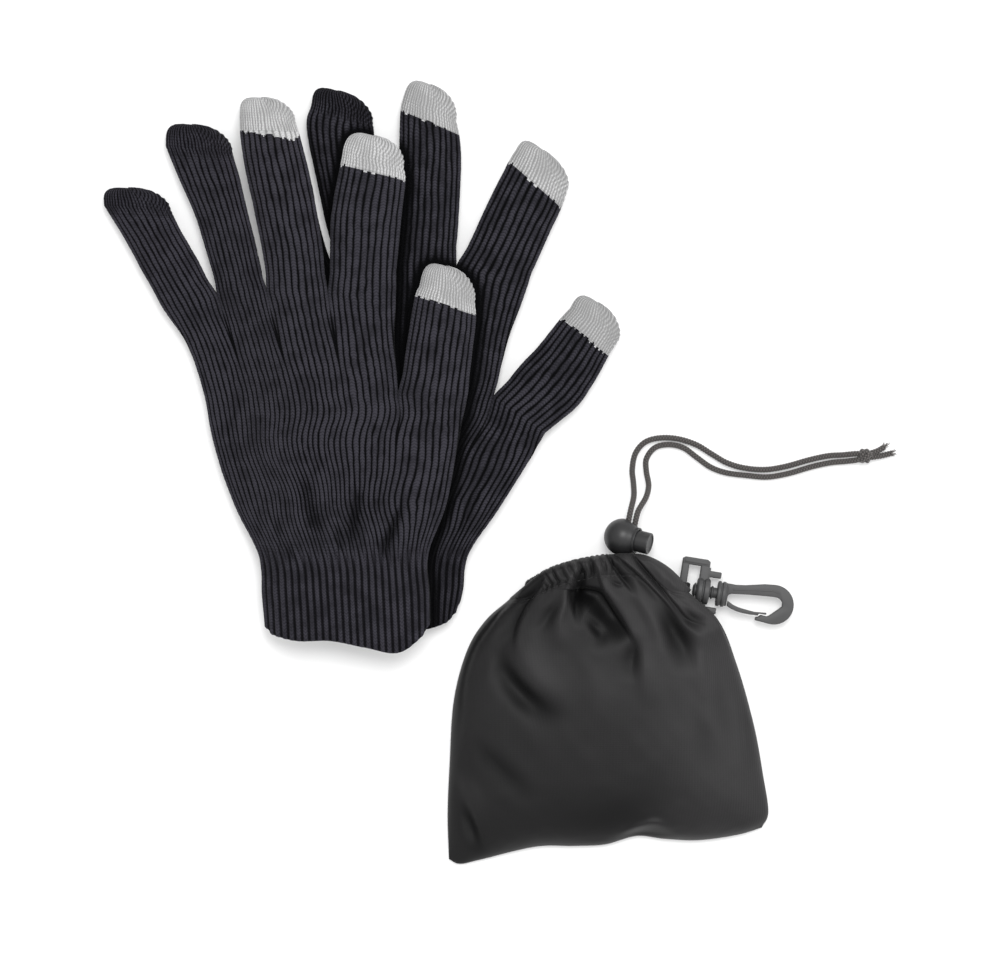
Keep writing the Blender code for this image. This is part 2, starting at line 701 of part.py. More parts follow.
def clip_matrix():
    return Matrix.Translation(CLIP_ORIGIN) @ Matrix.Rotation(CLIP_YAW, 4, "Z")


def plate(outline, deep, holes=()):
    """A flat plate with an outline in the clip's plane, deep millimetres thick, centred on it."""
    made = bmesh.new()
    loops = []
    for z in (-deep / 2, deep / 2):
        loops.append([made.verts.new((u, v, z)) for u, v in outline])
    low, high = loops
    made.faces.new(low[::-1])
    made.faces.new(high)
    for i in range(len(outline)):
        k = (i + 1) % len(outline)
        made.faces.new((low[i], low[k], high[k], high[i]))
    return made


def box_outline(left, right, low, high):
    return ((left, low), (right, low), (right, high), (left, high))


def along_axis(profile, sides=24):
    """A turned solid whose axis is the clip's own long axis."""
    return place_mesh(turned(profile, sides), Matrix.Rotation(math.pi / 2, 4, "Y"))


def clip_piece(name, made, chamfer=0.0):
    piece = to_object(name, place_mesh(made, clip_matrix()), black_plastic(), 30)
    if chamfer:
        step = piece.modifiers.new("soft_edges", "BEVEL")
        step.width = chamfer * MM
        step.segments = 1
        step.limit_method = "ANGLE"
        step.angle_limit = math.radians(50)
    return piece


def disc(radius, low, high):
    return [(0, low), (radius, low), (radius, high), (0, high)]


def arc(centre, radius, first, last, count):
    """Points on an arc, its angles in degrees."""
    made = []
    for i in range(count):
        a = math.radians(first + (last - first) * i / (count - 1))
        made.append((centre[0] + radius * math.cos(a), centre[1] + radius * math.sin(a)))
    return made


def make_clip():
    inner_right = COLLAR_FROM + 0.4
    frame = clip_piece("clip_frame", plate(box_outline(FRAME_LEFT, FRAME_RIGHT, -FRAME_HALF, FRAME_HALF), FRAME_DEEP), 0.6)
    slot = box_outline(FRAME_LEFT + FRAME_BAR, inner_right, -FRAME_HALF + FRAME_BAR, FRAME_HALF - FRAME_BAR)
    cut(frame, clip_piece("frame_slot", plate(slot, 3 * FRAME_DEEP)))
    for name, side in (("upper_arm", 1), ("lower_arm", -1)):
        low, high = sorted((side * 5.6, side * 8.0))
        cut(frame, clip_piece(name, plate(box_outline(FRAME_RIGHT - 2.0, 3.4, low, high), FRAME_DEEP - 0.4), 0.4), "UNION")
    cut(frame, clip_piece("collar", along_axis(disc(COLLAR_RADIUS, COLLAR_FROM, COLLAR_TO))), "UNION")
    cut(frame, clip_piece("collar_bore", along_axis(disc(POST_BORE, COLLAR_FROM - 2, COLLAR_TO + 2))))

    nose = arc((24.7, -0.9), 7.5, 96, -95, 12)
    outline = [(5.6, 4.4), (9.4, 4.3), (16.4, 5.4)] + nose
    outline += [(18.4, -7.8), (18.5, -6.6), (19.9, -6.2), (20.1, -5.5), (22.8, -5.7), (23.6, -5.2)]
    outline += [(27.8, -1.3), (27.6, 0.2), (26.1, 1.7), (24.0, 2.0), (15.0, 1.4), (8.2, 0.7), (7.0, -0.4)]
    outline += [(6.8, -4.2), (5.6, -4.3)]
    hook = clip_piece("clip_hook", plate(outline, HOOK_DEEP), 0.5)
    base = [(0, 2.7), (4.5, 2.7), (4.8, 3.0), (4.8, 3.9), (4.4, 4.1), (4.4, 4.5), (4.8, 4.7), (4.8, 5.6), (3.8, 6.6), (0, 6.6)]
    post = [(0, -6.6), (1.7, -6.6), (2.7, -5.9), (2.7, -5.5), (POST_RADIUS, -5.5), (POST_RADIUS, 3.0), (0, 3.0)]
    cut(hook, clip_piece("hook_base", along_axis(base)), "UNION")
    cut(hook, clip_piece("swivel_post", along_axis(post, 16)), "UNION")
    cut(hook, clip_piece("post_split", plate(box_outline(-8.0, 1.9, -0.45, 0.45), 8.0)))

    gate = [(7.2, -2.2), (9.6, -3.4), (13.8, -4.3), (18.0, -4.75), (22.4, -4.4), (22.4, -5.1), (19.6, -5.15),
            (19.3, -5.9), (18.2, -5.9), (16.1, -6.0), (11.0, -5.6), (7.2, -4.2)]
    clip_piece("clip_gate", plate(gate, HOOK_DEEP - 0.4))

    bar_u = FRAME_LEFT + FRAME_BAR / 2
    wrap, cloth = FRAME_BAR / 2 + 0.95, 0.8
    deep = FRAME_DEEP / 2 + 0.7

    def loop(grow):
        right, left = bar_u + wrap + grow, bar_u - TAB_REACH - grow
        top = deep + grow
        return [(right, -top * 0.7), (right, top * 0.7), (right - 0.8, top), (left + 1.5, top),
                (left, top * 0.4), (left, -top * 0.4), (left + 1.5, -top), (right - 0.8, -top)]

    rings = []
    for grow, v in ((cloth, TAB_LOW), (cloth, TAB_HIGH), (0, TAB_HIGH), (0, TAB_LOW)):
        rings.append([(u, v, z) for u, z in loop(grow)])
    tab = to_object("clip_tab", place_mesh(skin(rings), clip_matrix()), pouch_cloth())
    return tab


def main():
    for old in list(bpy.data.objects):
        bpy.data.objects.remove(old)
    make_glove(RIGHT_GLOVE, flat_on_table)
    make_glove(LEFT_GLOVE, over_right_glove)
    make_pouch()
    make_drawcord()
    make_cord_lock()
    make_clip()


main()
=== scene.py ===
"""Looks for a pair of stretch-knit touchscreen gloves and their drawstring pouch, lying on a pale floor.

Lengths are in millimetres until a mesh is made: X to the right, Y along the fingers, Z up.
"""

import json
import math

import bmesh
import bpy
import numpy as np
from mathutils import Matrix, Vector

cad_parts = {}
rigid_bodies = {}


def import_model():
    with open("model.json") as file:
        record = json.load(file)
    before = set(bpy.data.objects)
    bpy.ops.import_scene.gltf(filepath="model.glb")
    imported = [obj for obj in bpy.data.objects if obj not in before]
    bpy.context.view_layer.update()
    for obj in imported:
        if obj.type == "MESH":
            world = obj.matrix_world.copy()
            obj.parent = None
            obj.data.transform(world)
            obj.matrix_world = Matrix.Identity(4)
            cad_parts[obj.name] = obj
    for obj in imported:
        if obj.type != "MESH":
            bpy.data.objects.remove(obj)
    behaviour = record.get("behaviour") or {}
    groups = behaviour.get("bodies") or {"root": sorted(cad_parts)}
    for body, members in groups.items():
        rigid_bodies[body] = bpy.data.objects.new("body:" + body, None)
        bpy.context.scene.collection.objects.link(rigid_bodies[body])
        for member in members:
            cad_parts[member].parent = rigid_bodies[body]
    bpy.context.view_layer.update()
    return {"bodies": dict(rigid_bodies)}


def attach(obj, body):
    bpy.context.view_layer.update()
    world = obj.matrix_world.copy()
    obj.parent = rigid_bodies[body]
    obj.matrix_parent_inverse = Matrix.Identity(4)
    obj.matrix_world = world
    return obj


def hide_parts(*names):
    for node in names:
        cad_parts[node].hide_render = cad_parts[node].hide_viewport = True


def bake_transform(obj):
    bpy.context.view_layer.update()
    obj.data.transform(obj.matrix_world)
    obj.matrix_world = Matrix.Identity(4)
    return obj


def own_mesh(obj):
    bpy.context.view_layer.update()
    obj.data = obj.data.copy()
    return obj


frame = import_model()

MM = 0.001


# ---------------------------------------------------------------- camera, light and floor

VIEW_MIDDLE = (18.6, -2.1)
VIEW_WIDTH, CAMERA_HEIGHT, SENSOR = 380.0, 1500.0, 36.0


def make_camera():
    lens = bpy.data.cameras.new("camera")
    lens.sensor_width = SENSOR
    lens.lens = SENSOR * CAMERA_HEIGHT / VIEW_WIDTH
    lens.clip_start = 0.01
    camera = bpy.data.objects.new("camera", lens)
    camera.location = (VIEW_MIDDLE[0] * MM, VIEW_MIDDLE[1] * MM, CAMERA_HEIGHT * MM)
    bpy.context.scene.collection.objects.link(camera)
    bpy.context.scene.camera = camera


def make_floor(look):
    mesh = bpy.data.meshes.new("floor")
    mesh.from_pydata([(-3, -3, 0), (3, -3, 0), (3, 3, 0), (-3, 3, 0)], [], [(0, 1, 2, 3)])
    mesh.materials.append(look)
    floor = bpy.data.objects.new("floor", mesh)
    floor.location.z = -0.0002
    bpy.context.scene.collection.objects.link(floor)


def add_light(name, place, aim, size, power, shadow=True):
    light = bpy.data.lights.new(name, "AREA")
    light.size = size
    light.energy = power
    light.use_shadow = shadow
    lamp = bpy.data.objects.new(name, light)
    lamp.location = place
    lamp.rotation_euler = (Vector(aim) - Vector(place)).to_track_quat("-Z", "Y").to_euler()
    bpy.context.scene.collection.objects.link(lamp)


def make_studio():
    world = bpy.data.worlds.new("studio")
    world.use_nodes = True
    world.node_tree.nodes["Background"].inputs["Color"].default_value = (1, 1, 1, 1)
    world.node_tree.nodes["Background"].inputs["Strength"].default_value = 0.8
    bpy.context.scene.world = world
    add_light("soft_key", (0.1, 0.4, 1.28), (0, 0, 0), 0.55, 9.0)
    add_light("side_glow", (0.95, 0.1, 0.95), (0.05, -0.08, 0), 0.5, 5.0, False)
    bpy.context.scene.view_settings.view_transform = "Standard"


# ---------------------------------------------------------------- materials


class Value:
    """A number that varies over a surface. Sums with it make Math nodes."""

    def __init__(self, tree, socket):
        self.tree = tree
        self.socket = socket

    def math(self, operation, *terms):
        node = self.tree.nodes.new("ShaderNodeMath")
        node.operation = operation
        for entry, term in zip(node.inputs, terms):
            join(self.tree, term, entry)
        return Value(self.tree, node.outputs[0])

    def __add__(self, other):
        return self.math("ADD", self, other)

    def __sub__(self, other):
        return self.math("SUBTRACT", self, other)

    def __rsub__(self, other):
        return self.math("SUBTRACT", other, self)

    def __mul__(self, other):
        return self.math("MULTIPLY", self, other)

    __radd__ = __add__
    __rmul__ = __mul__

    def fraction(self):
        return self.math("FRACT", self)

    def size(self):
        return self.math("ABSOLUTE", self)

    def sine(self):
        return self.math("SINE", self)

    def ramp(self, low, high):
        """0 at low, 1 at high, smooth between."""
        node = self.tree.nodes.new("ShaderNodeMapRange")
        node.interpolation_type = "SMOOTHSTEP"
        join(self.tree, self, node.inputs["Value"])
        node.inputs["From Min"].default_value = low
        node.inputs["From Max"].default_value = high
        return Value(self.tree, node.outputs["Result"])


def join(tree, source, entry):
    """Sends a Value, a socket or a plain number into a node's input."""
    if isinstance(source, Value):
        tree.links.new(source.socket, entry)
    elif isinstance(source, bpy.types.NodeSocket):
        tree.links.new(source, entry)
    else:
        entry.default_value = source


class Look:
    """A material that is being made."""

    def __init__(self, name, constants):
        self.material = bpy.data.materials.new(name)
        self.material.use_nodes = True
        self.tree = self.material.node_tree
        self.shader = self.tree.nodes["Principled BSDF"]
        for label, number in constants.items():
            self.shader.inputs[label].default_value = number

    def node(self, kind, settings, inputs):
        made = self.tree.nodes.new(kind)
        for label, setting in settings.items():
            setattr(made, label, setting)
        for label, source in inputs.items():
            join(self.tree, source, made.inputs[label])
        return made

    def places(self):
        return self.node("ShaderNodeTexCoord", {}, {}).outputs["Object"]

    def parts_of(self, vector):
        split = self.node("ShaderNodeSeparateXYZ", {}, {"Vector": vector})
        return [Value(self.tree, split.outputs[axis]) for axis in "XYZ"]

    def noise(self, grain_mm, detail=2.0):
        """Noise between about 0.3 and 0.7, with grains of that size."""
        inputs = {"Vector": self.places(), "Scale": 1 / (grain_mm * MM), "Detail": detail}
        return Value(self.tree, self.node("ShaderNodeTexNoise", {}, inputs).outputs[0])

    def attribute(self, name):
        made = self.node("ShaderNodeAttribute", {"attribute_name": name}, {})
        return Value(self.tree, made.outputs["Fac"])

    def uv(self, name):
        return self.node("ShaderNodeUVMap", {"uv_map": name}, {}).outputs["UV"]

    def mix(self, share, low, high):
        node = self.node("ShaderNodeMix", {"data_type": "RGBA"}, {})
        join(self.tree, share, node.inputs["Factor"])
        for label, colour in (("A", low), ("B", high)):
            entry = [i for i in node.inputs if i.identifier == label + "_Color"][0]
            join(self.tree, colour if isinstance(colour, bpy.types.NodeSocket) else (*colour, 1), entry)
        return [o for o in node.outputs if o.identifier == "Result_Color"][0]

    def bump(self, height, strength, deep_mm):
        inputs = {"Height": height, "Strength": strength, "Distance": deep_mm * MM}
        normal = self.node("ShaderNodeBump", {}, inputs).outputs["Normal"]
        self.tree.links.new(normal, self.shader.inputs["Normal"])

    def set(self, label, source):
        join(self.tree, source, self.shader.inputs[label])


def knit_look(name, valley_shade, rib, pale, sheen):
    """Ribbed knit: painted shade between the ribs, from the rib attribute, with a column of V-shaped stitches
    along each rib.
    """
    look = Look(name, {"Sheen Weight": sheen, "Sheen Roughness": 0.45, "Specular IOR Level": 0.06})
    # The rib attribute is painted shade: dark in the ribs' valleys, the toe gathers and the puckers, and in a
    # painted shadow beside the upper glove.
    height = look.attribute("rib")
    rib_at, course, _ = look.parts_of(look.uv("knit"))
    across = (rib_at.fraction() - 0.5).size()
    leg = (course + across * 1.3).fraction()
    stitch = 1.0 - (leg * 2.0 - 1.0).size()
    fuzz = look.noise(0.3, 4.0)
    patches = look.noise(7.0, 3.0)
    worn = patches.ramp(0.35, 0.65)
    lit = height.ramp(0.3, 1.0) * (stitch * (worn * 0.75 + 0.3) + 0.5) * (patches * 0.5 + 0.75)
    colour = look.mix(lit * (fuzz * 1.1 + 0.45), valley_shade, rib)
    # Pale flecks of fuzz, brighter where the painted shade is light.
    colour = look.mix(fuzz.ramp(0.55, 0.72) * height * 0.3, colour, pale)
    look.set("Base Color", colour)
    look.set("Roughness", patches * 0.15 + 0.8)
    look.bump(stitch * 0.9 + fuzz * 0.7, 0.6, 0.3)
    return look.material


def satin_look():
    """Smooth woven cloth, with painted shade down in its folds and painted light read from the rib attribute.
    """
    look = Look("pouch_satin", {"Sheen Weight": 0.04, "Sheen Roughness": 0.4, "Specular IOR Level": 0.2})
    x, y, z = look.parts_of(look.places())
    warp = ((x + z * 0.35) * (2 * math.pi / 0.00055)).sine()
    weft = (y * (2 * math.pi / 0.0008)).sine()
    slubs = look.noise(1.6, 3.0)
    clouds = look.noise(30.0, 2.0)
    thread = (warp * 0.5 + 0.5) * (slubs * 0.6 + 0.5)
    # The rib attribute here is painted light and shade.
    painted_lighting = look.attribute("rib").ramp(0.0, 1.0)
    lit = painted_lighting * (thread * 0.35 + clouds * 0.5 + 0.4)
    look.set("Base Color", look.mix(lit, (0.001, 0.001, 0.0012), (0.031, 0.03, 0.031)))
    look.set("Roughness", clouds * 0.1 + thread * 0.08 + 0.46)
    look.bump(warp * 0.5 + weft * 0.2 + slubs * 0.8, 0.22, 0.08)
    return look.material


def cord_look():
    look = Look("braided_cord", {"Sheen Weight": 0.2, "Specular IOR Level": 0.3})
    # The rib attribute is painted shade: dark in the braid's grooves.
    height = look.attribute("rib")
    fuzz = look.noise(0.3, 4.0)
    lit = height.ramp(0.1, 0.9) * (fuzz * 1.1 + 0.4)
    look.set("Base Color", look.mix(lit, (0.007, 0.0065, 0.0065), (0.115, 0.105, 0.1)))
    look.set("Roughness", fuzz * 0.2 + 0.65)
    look.bump(fuzz, 0.5, 0.12)
    return look.material


def plastic_look(name, dark, light, rough):
    look = Look(name, {"Specular IOR Level": 0.5})
    grain = look.noise(0.25, 3.0)
    clouds = look.noise(5.0, 3.0)
    look.set("Base Color", look.mix(clouds * 0.7 + grain * 0.4, dark, light))
    look.set("Roughness", grain * 0.12 + clouds * 0.1 + rough)
    look.bump(grain, 0.35, 0.05)
    return look.material


def steel_look():
    look = Look("spring_wire", {"Metallic": 1.0})
    lines = look.noise(0.2, 2.0)
    look.set("Base Color", look.mix(lines, (0.45, 0.45, 0.46), (0.62, 0.62, 0.64)))
    look.set("Roughness", lines * 0.3 + 0.2)
    return look.material


def floor_look():
    look = Look("pale_floor", {"Specular IOR Level": 0.1})
    clouds = look.noise(400.0, 1.0)
    look.set("Base Color", look.mix(clouds, (0.93, 0.93, 0.93), (0.95, 0.95, 0.95)))
    look.set("Roughness", clouds * 0.1 + 0.8)
    return look.material


# ---------------------------------------------------------------- curves and meshes


def smooth(x):
    x = np.clip(x, 0.0, 1.0)
    return x * x * (3 - 2 * x)


def along_points(points, at):
    """Places on the smooth curve through points, at numbers counted in points."""
    p = np.asarray(points, float)
    at = np.atleast_1d(np.asarray(at, float))
    padded = np.vstack([2 * p[0] - p[1], p, 2 * p[-1] - p[-2]])
    i = np.clip(np.floor(at).astype(int), 0, len(p) - 2)
    u = (at - i)[:, None]
    a, b, c, d = (padded[i + k] for k in range(4))
    return 0.5 * (2 * b + (c - a) * u + (2 * a - 5 * b + 4 * c - d) * u**2 + (3 * b - 3 * c + d - a) * u**3)


def distance_along(points):
    """How far along a line each of its points is, from 0."""
    return np.concatenate([[0], np.cumsum(np.linalg.norm(np.diff(points, axis=0), axis=1))])


def even_route(points, step):
    """Points a step apart on the smooth curve through points."""
    fine = along_points(points, np.linspace(0, len(points) - 1, 1200))
    gone = distance_along(fine)
    at = np.linspace(0, gone[-1], max(2, int(gone[-1] / step) + 1))
    return np.stack([np.interp(at, gone, fine[:, k]) for k in range(fine.shape[1])], axis=1)


def normals_of(grid):
    """Unit normals of a grid of points, rows going up and columns to the right."""
    normal = np.cross(np.gradient(grid, axis=1), np.gradient(grid, axis=0))
    return normal / np.maximum(np.linalg.norm(normal, axis=2, keepdims=True), 1e-9)


def wander(shape, grains, seed):
    """Smooth random numbers of about -1 to 1 on a grid, with so many grains each way."""
    rough = np.random.RandomState(seed).uniform(-1, 1, (grains[0] + 2, grains[1] + 2))
    rows = along_points(rough, np.linspace(0.5, grains[0] + 0.5, shape[0]))
    return along_points(rows.T, np.linspace(0.5, grains[1] + 0.5, shape[1])).T


class Weave:
    """Grids of points that are gathered into one mesh, each with its painted shade and knit coordinates."""

    def __init__(self):
        self.points, self.ribs, self.coordinates, self.quads = [], [], [], []
        self.count = 0

    # rib is each point's painted shade, from dark to fully lit.
    def add(self, grid, rib, across, along, keep=None, flip=False):
        rows, columns = grid.shape[:2]
        index = np.arange(rows * columns).reshape(rows, columns) + self.count
        quads = np.stack([index[:-1, :-1], index[:-1, 1:], index[1:, 1:], index[1:, :-1]], axis=-1)
        quads = quads[keep] if keep is not None else quads.reshape(-1, 4)
        self.quads.append(quads[:, ::-1] if flip else quads)
        self.points.append(grid.reshape(-1, 3))
        self.ribs.append(np.broadcast_to(rib, (rows, columns)).reshape(-1))
        pair = [np.broadcast_to(given, (rows, columns)) for given in (across, along)]
        self.coordinates.append(np.stack(pair, axis=-1).reshape(-1, 2))
        self.count += rows * columns

    def finish(self, name, look):
        points = np.concatenate(self.points) * MM
        quads = np.concatenate(self.quads)
        used, quads = np.unique(quads, return_inverse=True)
        quads = quads.reshape(-1, 4)
        points = points[used]
        ribs = np.concatenate(self.ribs)[used]
        pairs = np.concatenate(self.coordinates)[used]
        mesh = bpy.data.meshes.new(name)
        mesh.vertices.add(len(points))
        mesh.vertices.foreach_set("co", points.ravel())
        mesh.loops.add(quads.size)
        mesh.loops.foreach_set("vertex_index", quads.ravel())
        mesh.polygons.add(len(quads))
        mesh.polygons.foreach_set("loop_start", np.arange(0, quads.size, 4))
        mesh.update(calc_edges=True)
        # The rib attribute holds each point's painted shade, which the materials turn into colour.
        mesh.attributes.new("rib", "FLOAT", "POINT").data.foreach_set("value", ribs.astype(np.float32))
        layer = mesh.uv_layers.new(name="knit")
        layer.data.foreach_set("uv", pairs[quads.ravel()].astype(np.float32).ravel())
        edit = bmesh.new()
        edit.from_mesh(mesh)
        bmesh.ops.remove_doubles(edit, verts=edit.verts, dist=2e-6)
        edit.to_mesh(mesh)
        edit.free()
        mesh.shade_smooth()
        mesh.materials.append(look)
        made = bpy.data.objects.new(name, mesh)
        bpy.context.scene.collection.objects.link(made)
        return made


def place_piece(piece, node, body):
    """Puts a piece in place of a node of the CAD, on a body."""
    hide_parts(node)
    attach(piece, body)


# ---------------------------------------------------------------- gloves

LEFT_GLOVE = {
    "name": "left",
    "rows": (
        ((-70.5, -60), (-58, -63), (-45, -63), (-32, -65.5), (-19, -67.3), (-7.5, -58.5)),
        ((-71.5, -46), (-59, -46.5), (-46, -46.5), (-33, -47), (-20, -47.5), (-7.5, -46)),
        ((-73, -31), (-60.5, -32), (-47.5, -32), (-34, -32), (-21, -32), (-8, -31)),
        ((-82.5, -12), (-68, -12), (-54, -12), (-39, -12), (-21.5, -12), (-1, -12)),
        ((-90, 10), (-73, 10), (-57, 10), (-39.5, 10), (-20, 10), (3.2, 10)),
        ((-94, 30), (-76.5, 30), (-59, 30), (-40, 30), (-19.7, 29), (7, 29)),
        ((-100, 47.5), (-82, 48), (-64, 48), (-43, 48), (-21, 48)),
        ((-109.5, 62), (-88, 66), (-69, 67), (-46, 66.5), (-20.5, 67)),
    ),
    "fingers": {
        "little_finger": {
            "rungs": (
                ((-109.5, 62), (-88, 66)), ((-117, 75), (-94.5, 79)), ((-124.6, 89), (-100.8, 90)),
                ((-132.2, 101), (-105.6, 99.5)),
            ),
            "cap": 7.5,
            "yarn": None,
        },
        "ring_finger": {
            "rungs": (
                ((-88, 66), (-69, 67)), ((-92.5, 81), (-71.5, 80)), ((-97.5, 97), (-75.5, 97)),
                ((-103.6, 111), (-78.8, 111)), ((-108.8, 123.5), (-81.6, 120.5)),
            ),
            "cap": 9.5,
            "yarn": None,
        },
        "middle_finger": {
            "rungs": (
                ((-69, 67), (-46, 66.5)), ((-71.5, 83), (-47.2, 83)), ((-74.5, 98), (-49.5, 98)),
                ((-77.8, 113), (-52.5, 113)), ((-80, 127), (-56, 126.5)), ((-80.5, 134), (-58, 132.5)),
            ),
            "cap": 8.5,
            "yarn": 4.15,
            "slant": 0.36,
        },
        "index_finger": {
            "rungs": (
                ((-46, 66.5), (-20.5, 67)), ((-46, 82), (-19, 82)), ((-45.5, 97), (-17.5, 97)),
                ((-42.2, 115.5), (-16.2, 109)), ((-41.2, 121), (-17.0, 114.5)),
            ),
            "cap": 8.8,
            "lean": 0.16,
            "yarn": 3,
        },
        "thumb": {
            "rungs": (
                ((-19.7, 29), (7, 29)), ((-17.8, 43), (8.7, 43)), ((-16, 55), (9.8, 51.5)),
                ((-14, 66.5), (10.3, 58.5)), ((-12.5, 70), (9.8, 63.5)),
            ),
            "cap": 10.5,
            "yarn": 3,
        },
    },
    # Puckers above the cuff: start, end, half width and height.
    "folds": (
        ((-55, -2), (-50, -25), 3.2, -2.9),
        ((-33.4, -5), (-38, -27), 2.6, -3.4),
        ((-17.4, -11), (-25.6, -31), 1.9, -3.8),
        ((-26.5, -7), (-30, -20), 2.3, -1.5),
        ((-61, -26), (-58.5, -34), 1.6, -1.3),
        ((-66, -17), (-63, -30), 2.0, -1.2),
        ((-44.5, -14), (-45.4, -30), 2.4, 1.3),
        ((-28, -16), (-32.4, -29), 2.2, 1.5),
        ((-14.8, -13), (-19.8, -29), 2.0, 1.4),
        ((-58.5, -12), (-56, -29), 2.0, 1.0),
        ((-42.5, -20), (-41.5, -30), 1.4, -1.5),
        ((-11, -18), (-13, -30), 1.4, -1.2),
        ((-74, 26), (-60, 2), 7.0, 0.9),
        ((-66, 20), (-52, -6), 4.5, -0.7),
        ((-34, 40), (-30, 12), 7.0, 0.7),
    ),
}
RIGHT_GLOVE = {
    "name": "right",
    "rows": (
        ((-57, -61), (-45, -61.5), (-32, -61), (-19, -60), (-7, -58.5), (2.3, -54.5)),
        ((-56, -46), (-44, -46.5), (-32, -46.5), (-19, -46), (-7, -45.5), (4.8, -44.5)),
        ((-56, -32), (-44, -32), (-31, -32), (-18, -32), (-6, -31.5), (7, -31)),
        ((-60, -14), (-45, -14), (-30, -14), (-15, -14), (0, -14), (18.5, -14)),
        ((-60, 5), (-44, 5), (-28, 5), (-12, 5), (6, 5), (30.5, 5)),
        ((-58, 30), (-40, 30), (-22, 30), (-3, 30), (16, 28.5), (36, 14.5)),
        ((-59, 49), (-41, 51), (-22, 52), (0, 52), (21, 48)),
        ((-61.5, 65), (-42, 73), (-22, 77), (2, 78), (28.5, 69)),
    ),
    "fingers": {
        "little_finger": {
            "rungs": (
                ((-61.5, 65), (-42, 73)), ((-67, 80), (-47, 86)), ((-71, 95), (-50.5, 99)),
                ((-74.5, 108), (-54.5, 110)),
            ),
            "cap": 8.0,
            "yarn": None,
        },
        "ring_finger": {
            "rungs": (
                ((-42, 73), (-22, 77)), ((-47.5, 92), (-26, 93)), ((-51, 108), (-29, 109)),
                ((-55.3, 130), (-28.2, 125)), ((-53.6, 139.5), (-29.0, 132.5)),
            ),
            "cap": 8.0,
            "lean": 0.3,
            "yarn": None,
        },
        "middle_finger": {
            "rungs": (
                ((-22, 77), (2, 78)), ((-21.5, 93), (3.4, 92)), ((-20.8, 108), (4.3, 107)),
                ((-20.3, 122), (4.6, 118)), ((-19.8, 137), (3.9, 127)), ((-18.8, 142), (2.5, 133)),
            ),
            "cap": 9.0,
            "yarn": 4,
        },
        "index_finger": {
            "rungs": (
                ((2, 78), (28.5, 69)), ((8, 90.5), (33.5, 80)), ((13, 101.5), (38, 90)),
                ((21.3, 118), (42.3, 99.3)), ((24, 122.5), (44.8, 107)),
            ),
            "cap": 6.5,
            "yarn": 3,
        },
        "thumb": {
            "rungs": (
                ((16, 28.5), (36, 14.5)), ((25, 40), (48, 24)), ((32.5, 48), (54.5, 33)),
                ((41, 58.7), (60.3, 43.5)), ((44.5, 62.5), (64, 49.5)),
            ),
            "cap": 8.0,
            "yarn": 3,
        },
    },
    "folds": (
        ((14, 0), (1, -28), 2.2, -1.6),
        ((8, 0), (-4, -28), 2.4, 1.0),
        ((20, 4), (5, -27), 2.6, 1.0),
        ((40, 28), (20, 4), 3.5, 0.8),
    ),
}
FINGER_NAMES = ("little_finger", "ring_finger", "middle_finger", "index_finger", "thumb")
GLOVE_THICKNESS = (9.6, 9.6, 9.8, 11.5, 12.0, 11.6, 11.0, 10.4)
FINGER_THICKNESS, TIP_THICKNESS = 10.4, 9.2
CUFF_TOP, THUMB_ROOT, FINGER_ROOT = 2, 5, 7  # row numbers
ON_FINGER, IN_CAP = 10, 100  # row numbers start again from these along a finger, and round its end
HAND_END = 9  # between the hand's last row number and the finger's first
CUFF_RIBS, PALM_RIBS, FINGER_RIBS = 5, 9, 11  # on one face of a finger, and of the strip of hand below it
FRONT_STEPS, BACK_STEPS = 88, 44  # grid steps across that strip
ROW_STEP = 0.75
COURSE = 1.15  # length of one stitch
FINGER_RIB, PALM_RIB, CUFF_RIB = 0.5, 0.55, 0.95  # heights of the ribs
TOP_POWER = 2.4
TIP_BLUNT, TIP_LEAN = 0.62, 0.28  # how square a fingertip is, and its lean to the little finger's side
TOE_PLEAT = 1.25  # spacing of the gathers at a closed fingertip
SHADOW_REACH = 5.5  # how far from the upper glove the painted shadow beside it reaches
RIGHT_SHADE, THUMB_TIP_SHADE = 0.84, 0.87  # darkening factors on the right glove's knit and on the thumbs' touch-yarn tips
KNIT_THICK, LINING_SHADE = 1.9, 0.45
LINING_TOP, LINING_ROWS, LINING_STEPS = 1.6, 24, 100  # how far up the cuff its lining goes, and its grid


def flat_on_table(x, y):
    return np.zeros(np.broadcast(x, y).shape)


def over_right_glove(x, y):
    full = 10.2 + 2.5 * smooth((y + 42) / 22) - 1.4 * smooth((y - 55) / 25)
    edge = -54 - 0.25 * np.maximum(0.0, y - 50)
    droop = smooth((y - 118) / 24) * (1 - smooth((x + 62) / 12))
    return full * smooth((x - edge + 30) / 30) * (1 - 0.8 * droop)


def bulge(share):
    """Half-thickness, from 0 at a tube's sides to 1 in its middle, at a share of its width."""
    return np.maximum(0.0, 1 - np.abs(2 * share - 1) ** 2.0) ** (1 / TOP_POWER)


def thickness_at(rows):
    return np.interp(rows, range(len(GLOVE_THICKNESS)), GLOVE_THICKNESS)


def body_rows(glove, strip):
    """Row numbers, about a step apart, from the cuff's edge to the strip's finger root."""
    root = THUMB_ROOT if strip == 4 else FINGER_ROOT
    middles = [np.mean(glove["rows"][i], axis=0) for i in range(len(glove["rows"]))]
    places = []
    for i in range(root):
        steps = max(4, int(np.linalg.norm(middles[i + 1] - middles[i]) / ROW_STEP))
        places.append(i + np.arange(steps) / steps)
    return np.concatenate([*places, [float(root)]])


def line_of(glove, line, at):
    rows = glove["rows"][: THUMB_ROOT + 1] if line == 5 else glove["rows"]
    return along_points([row[line] for row in rows], np.minimum(at, len(rows) - 1))


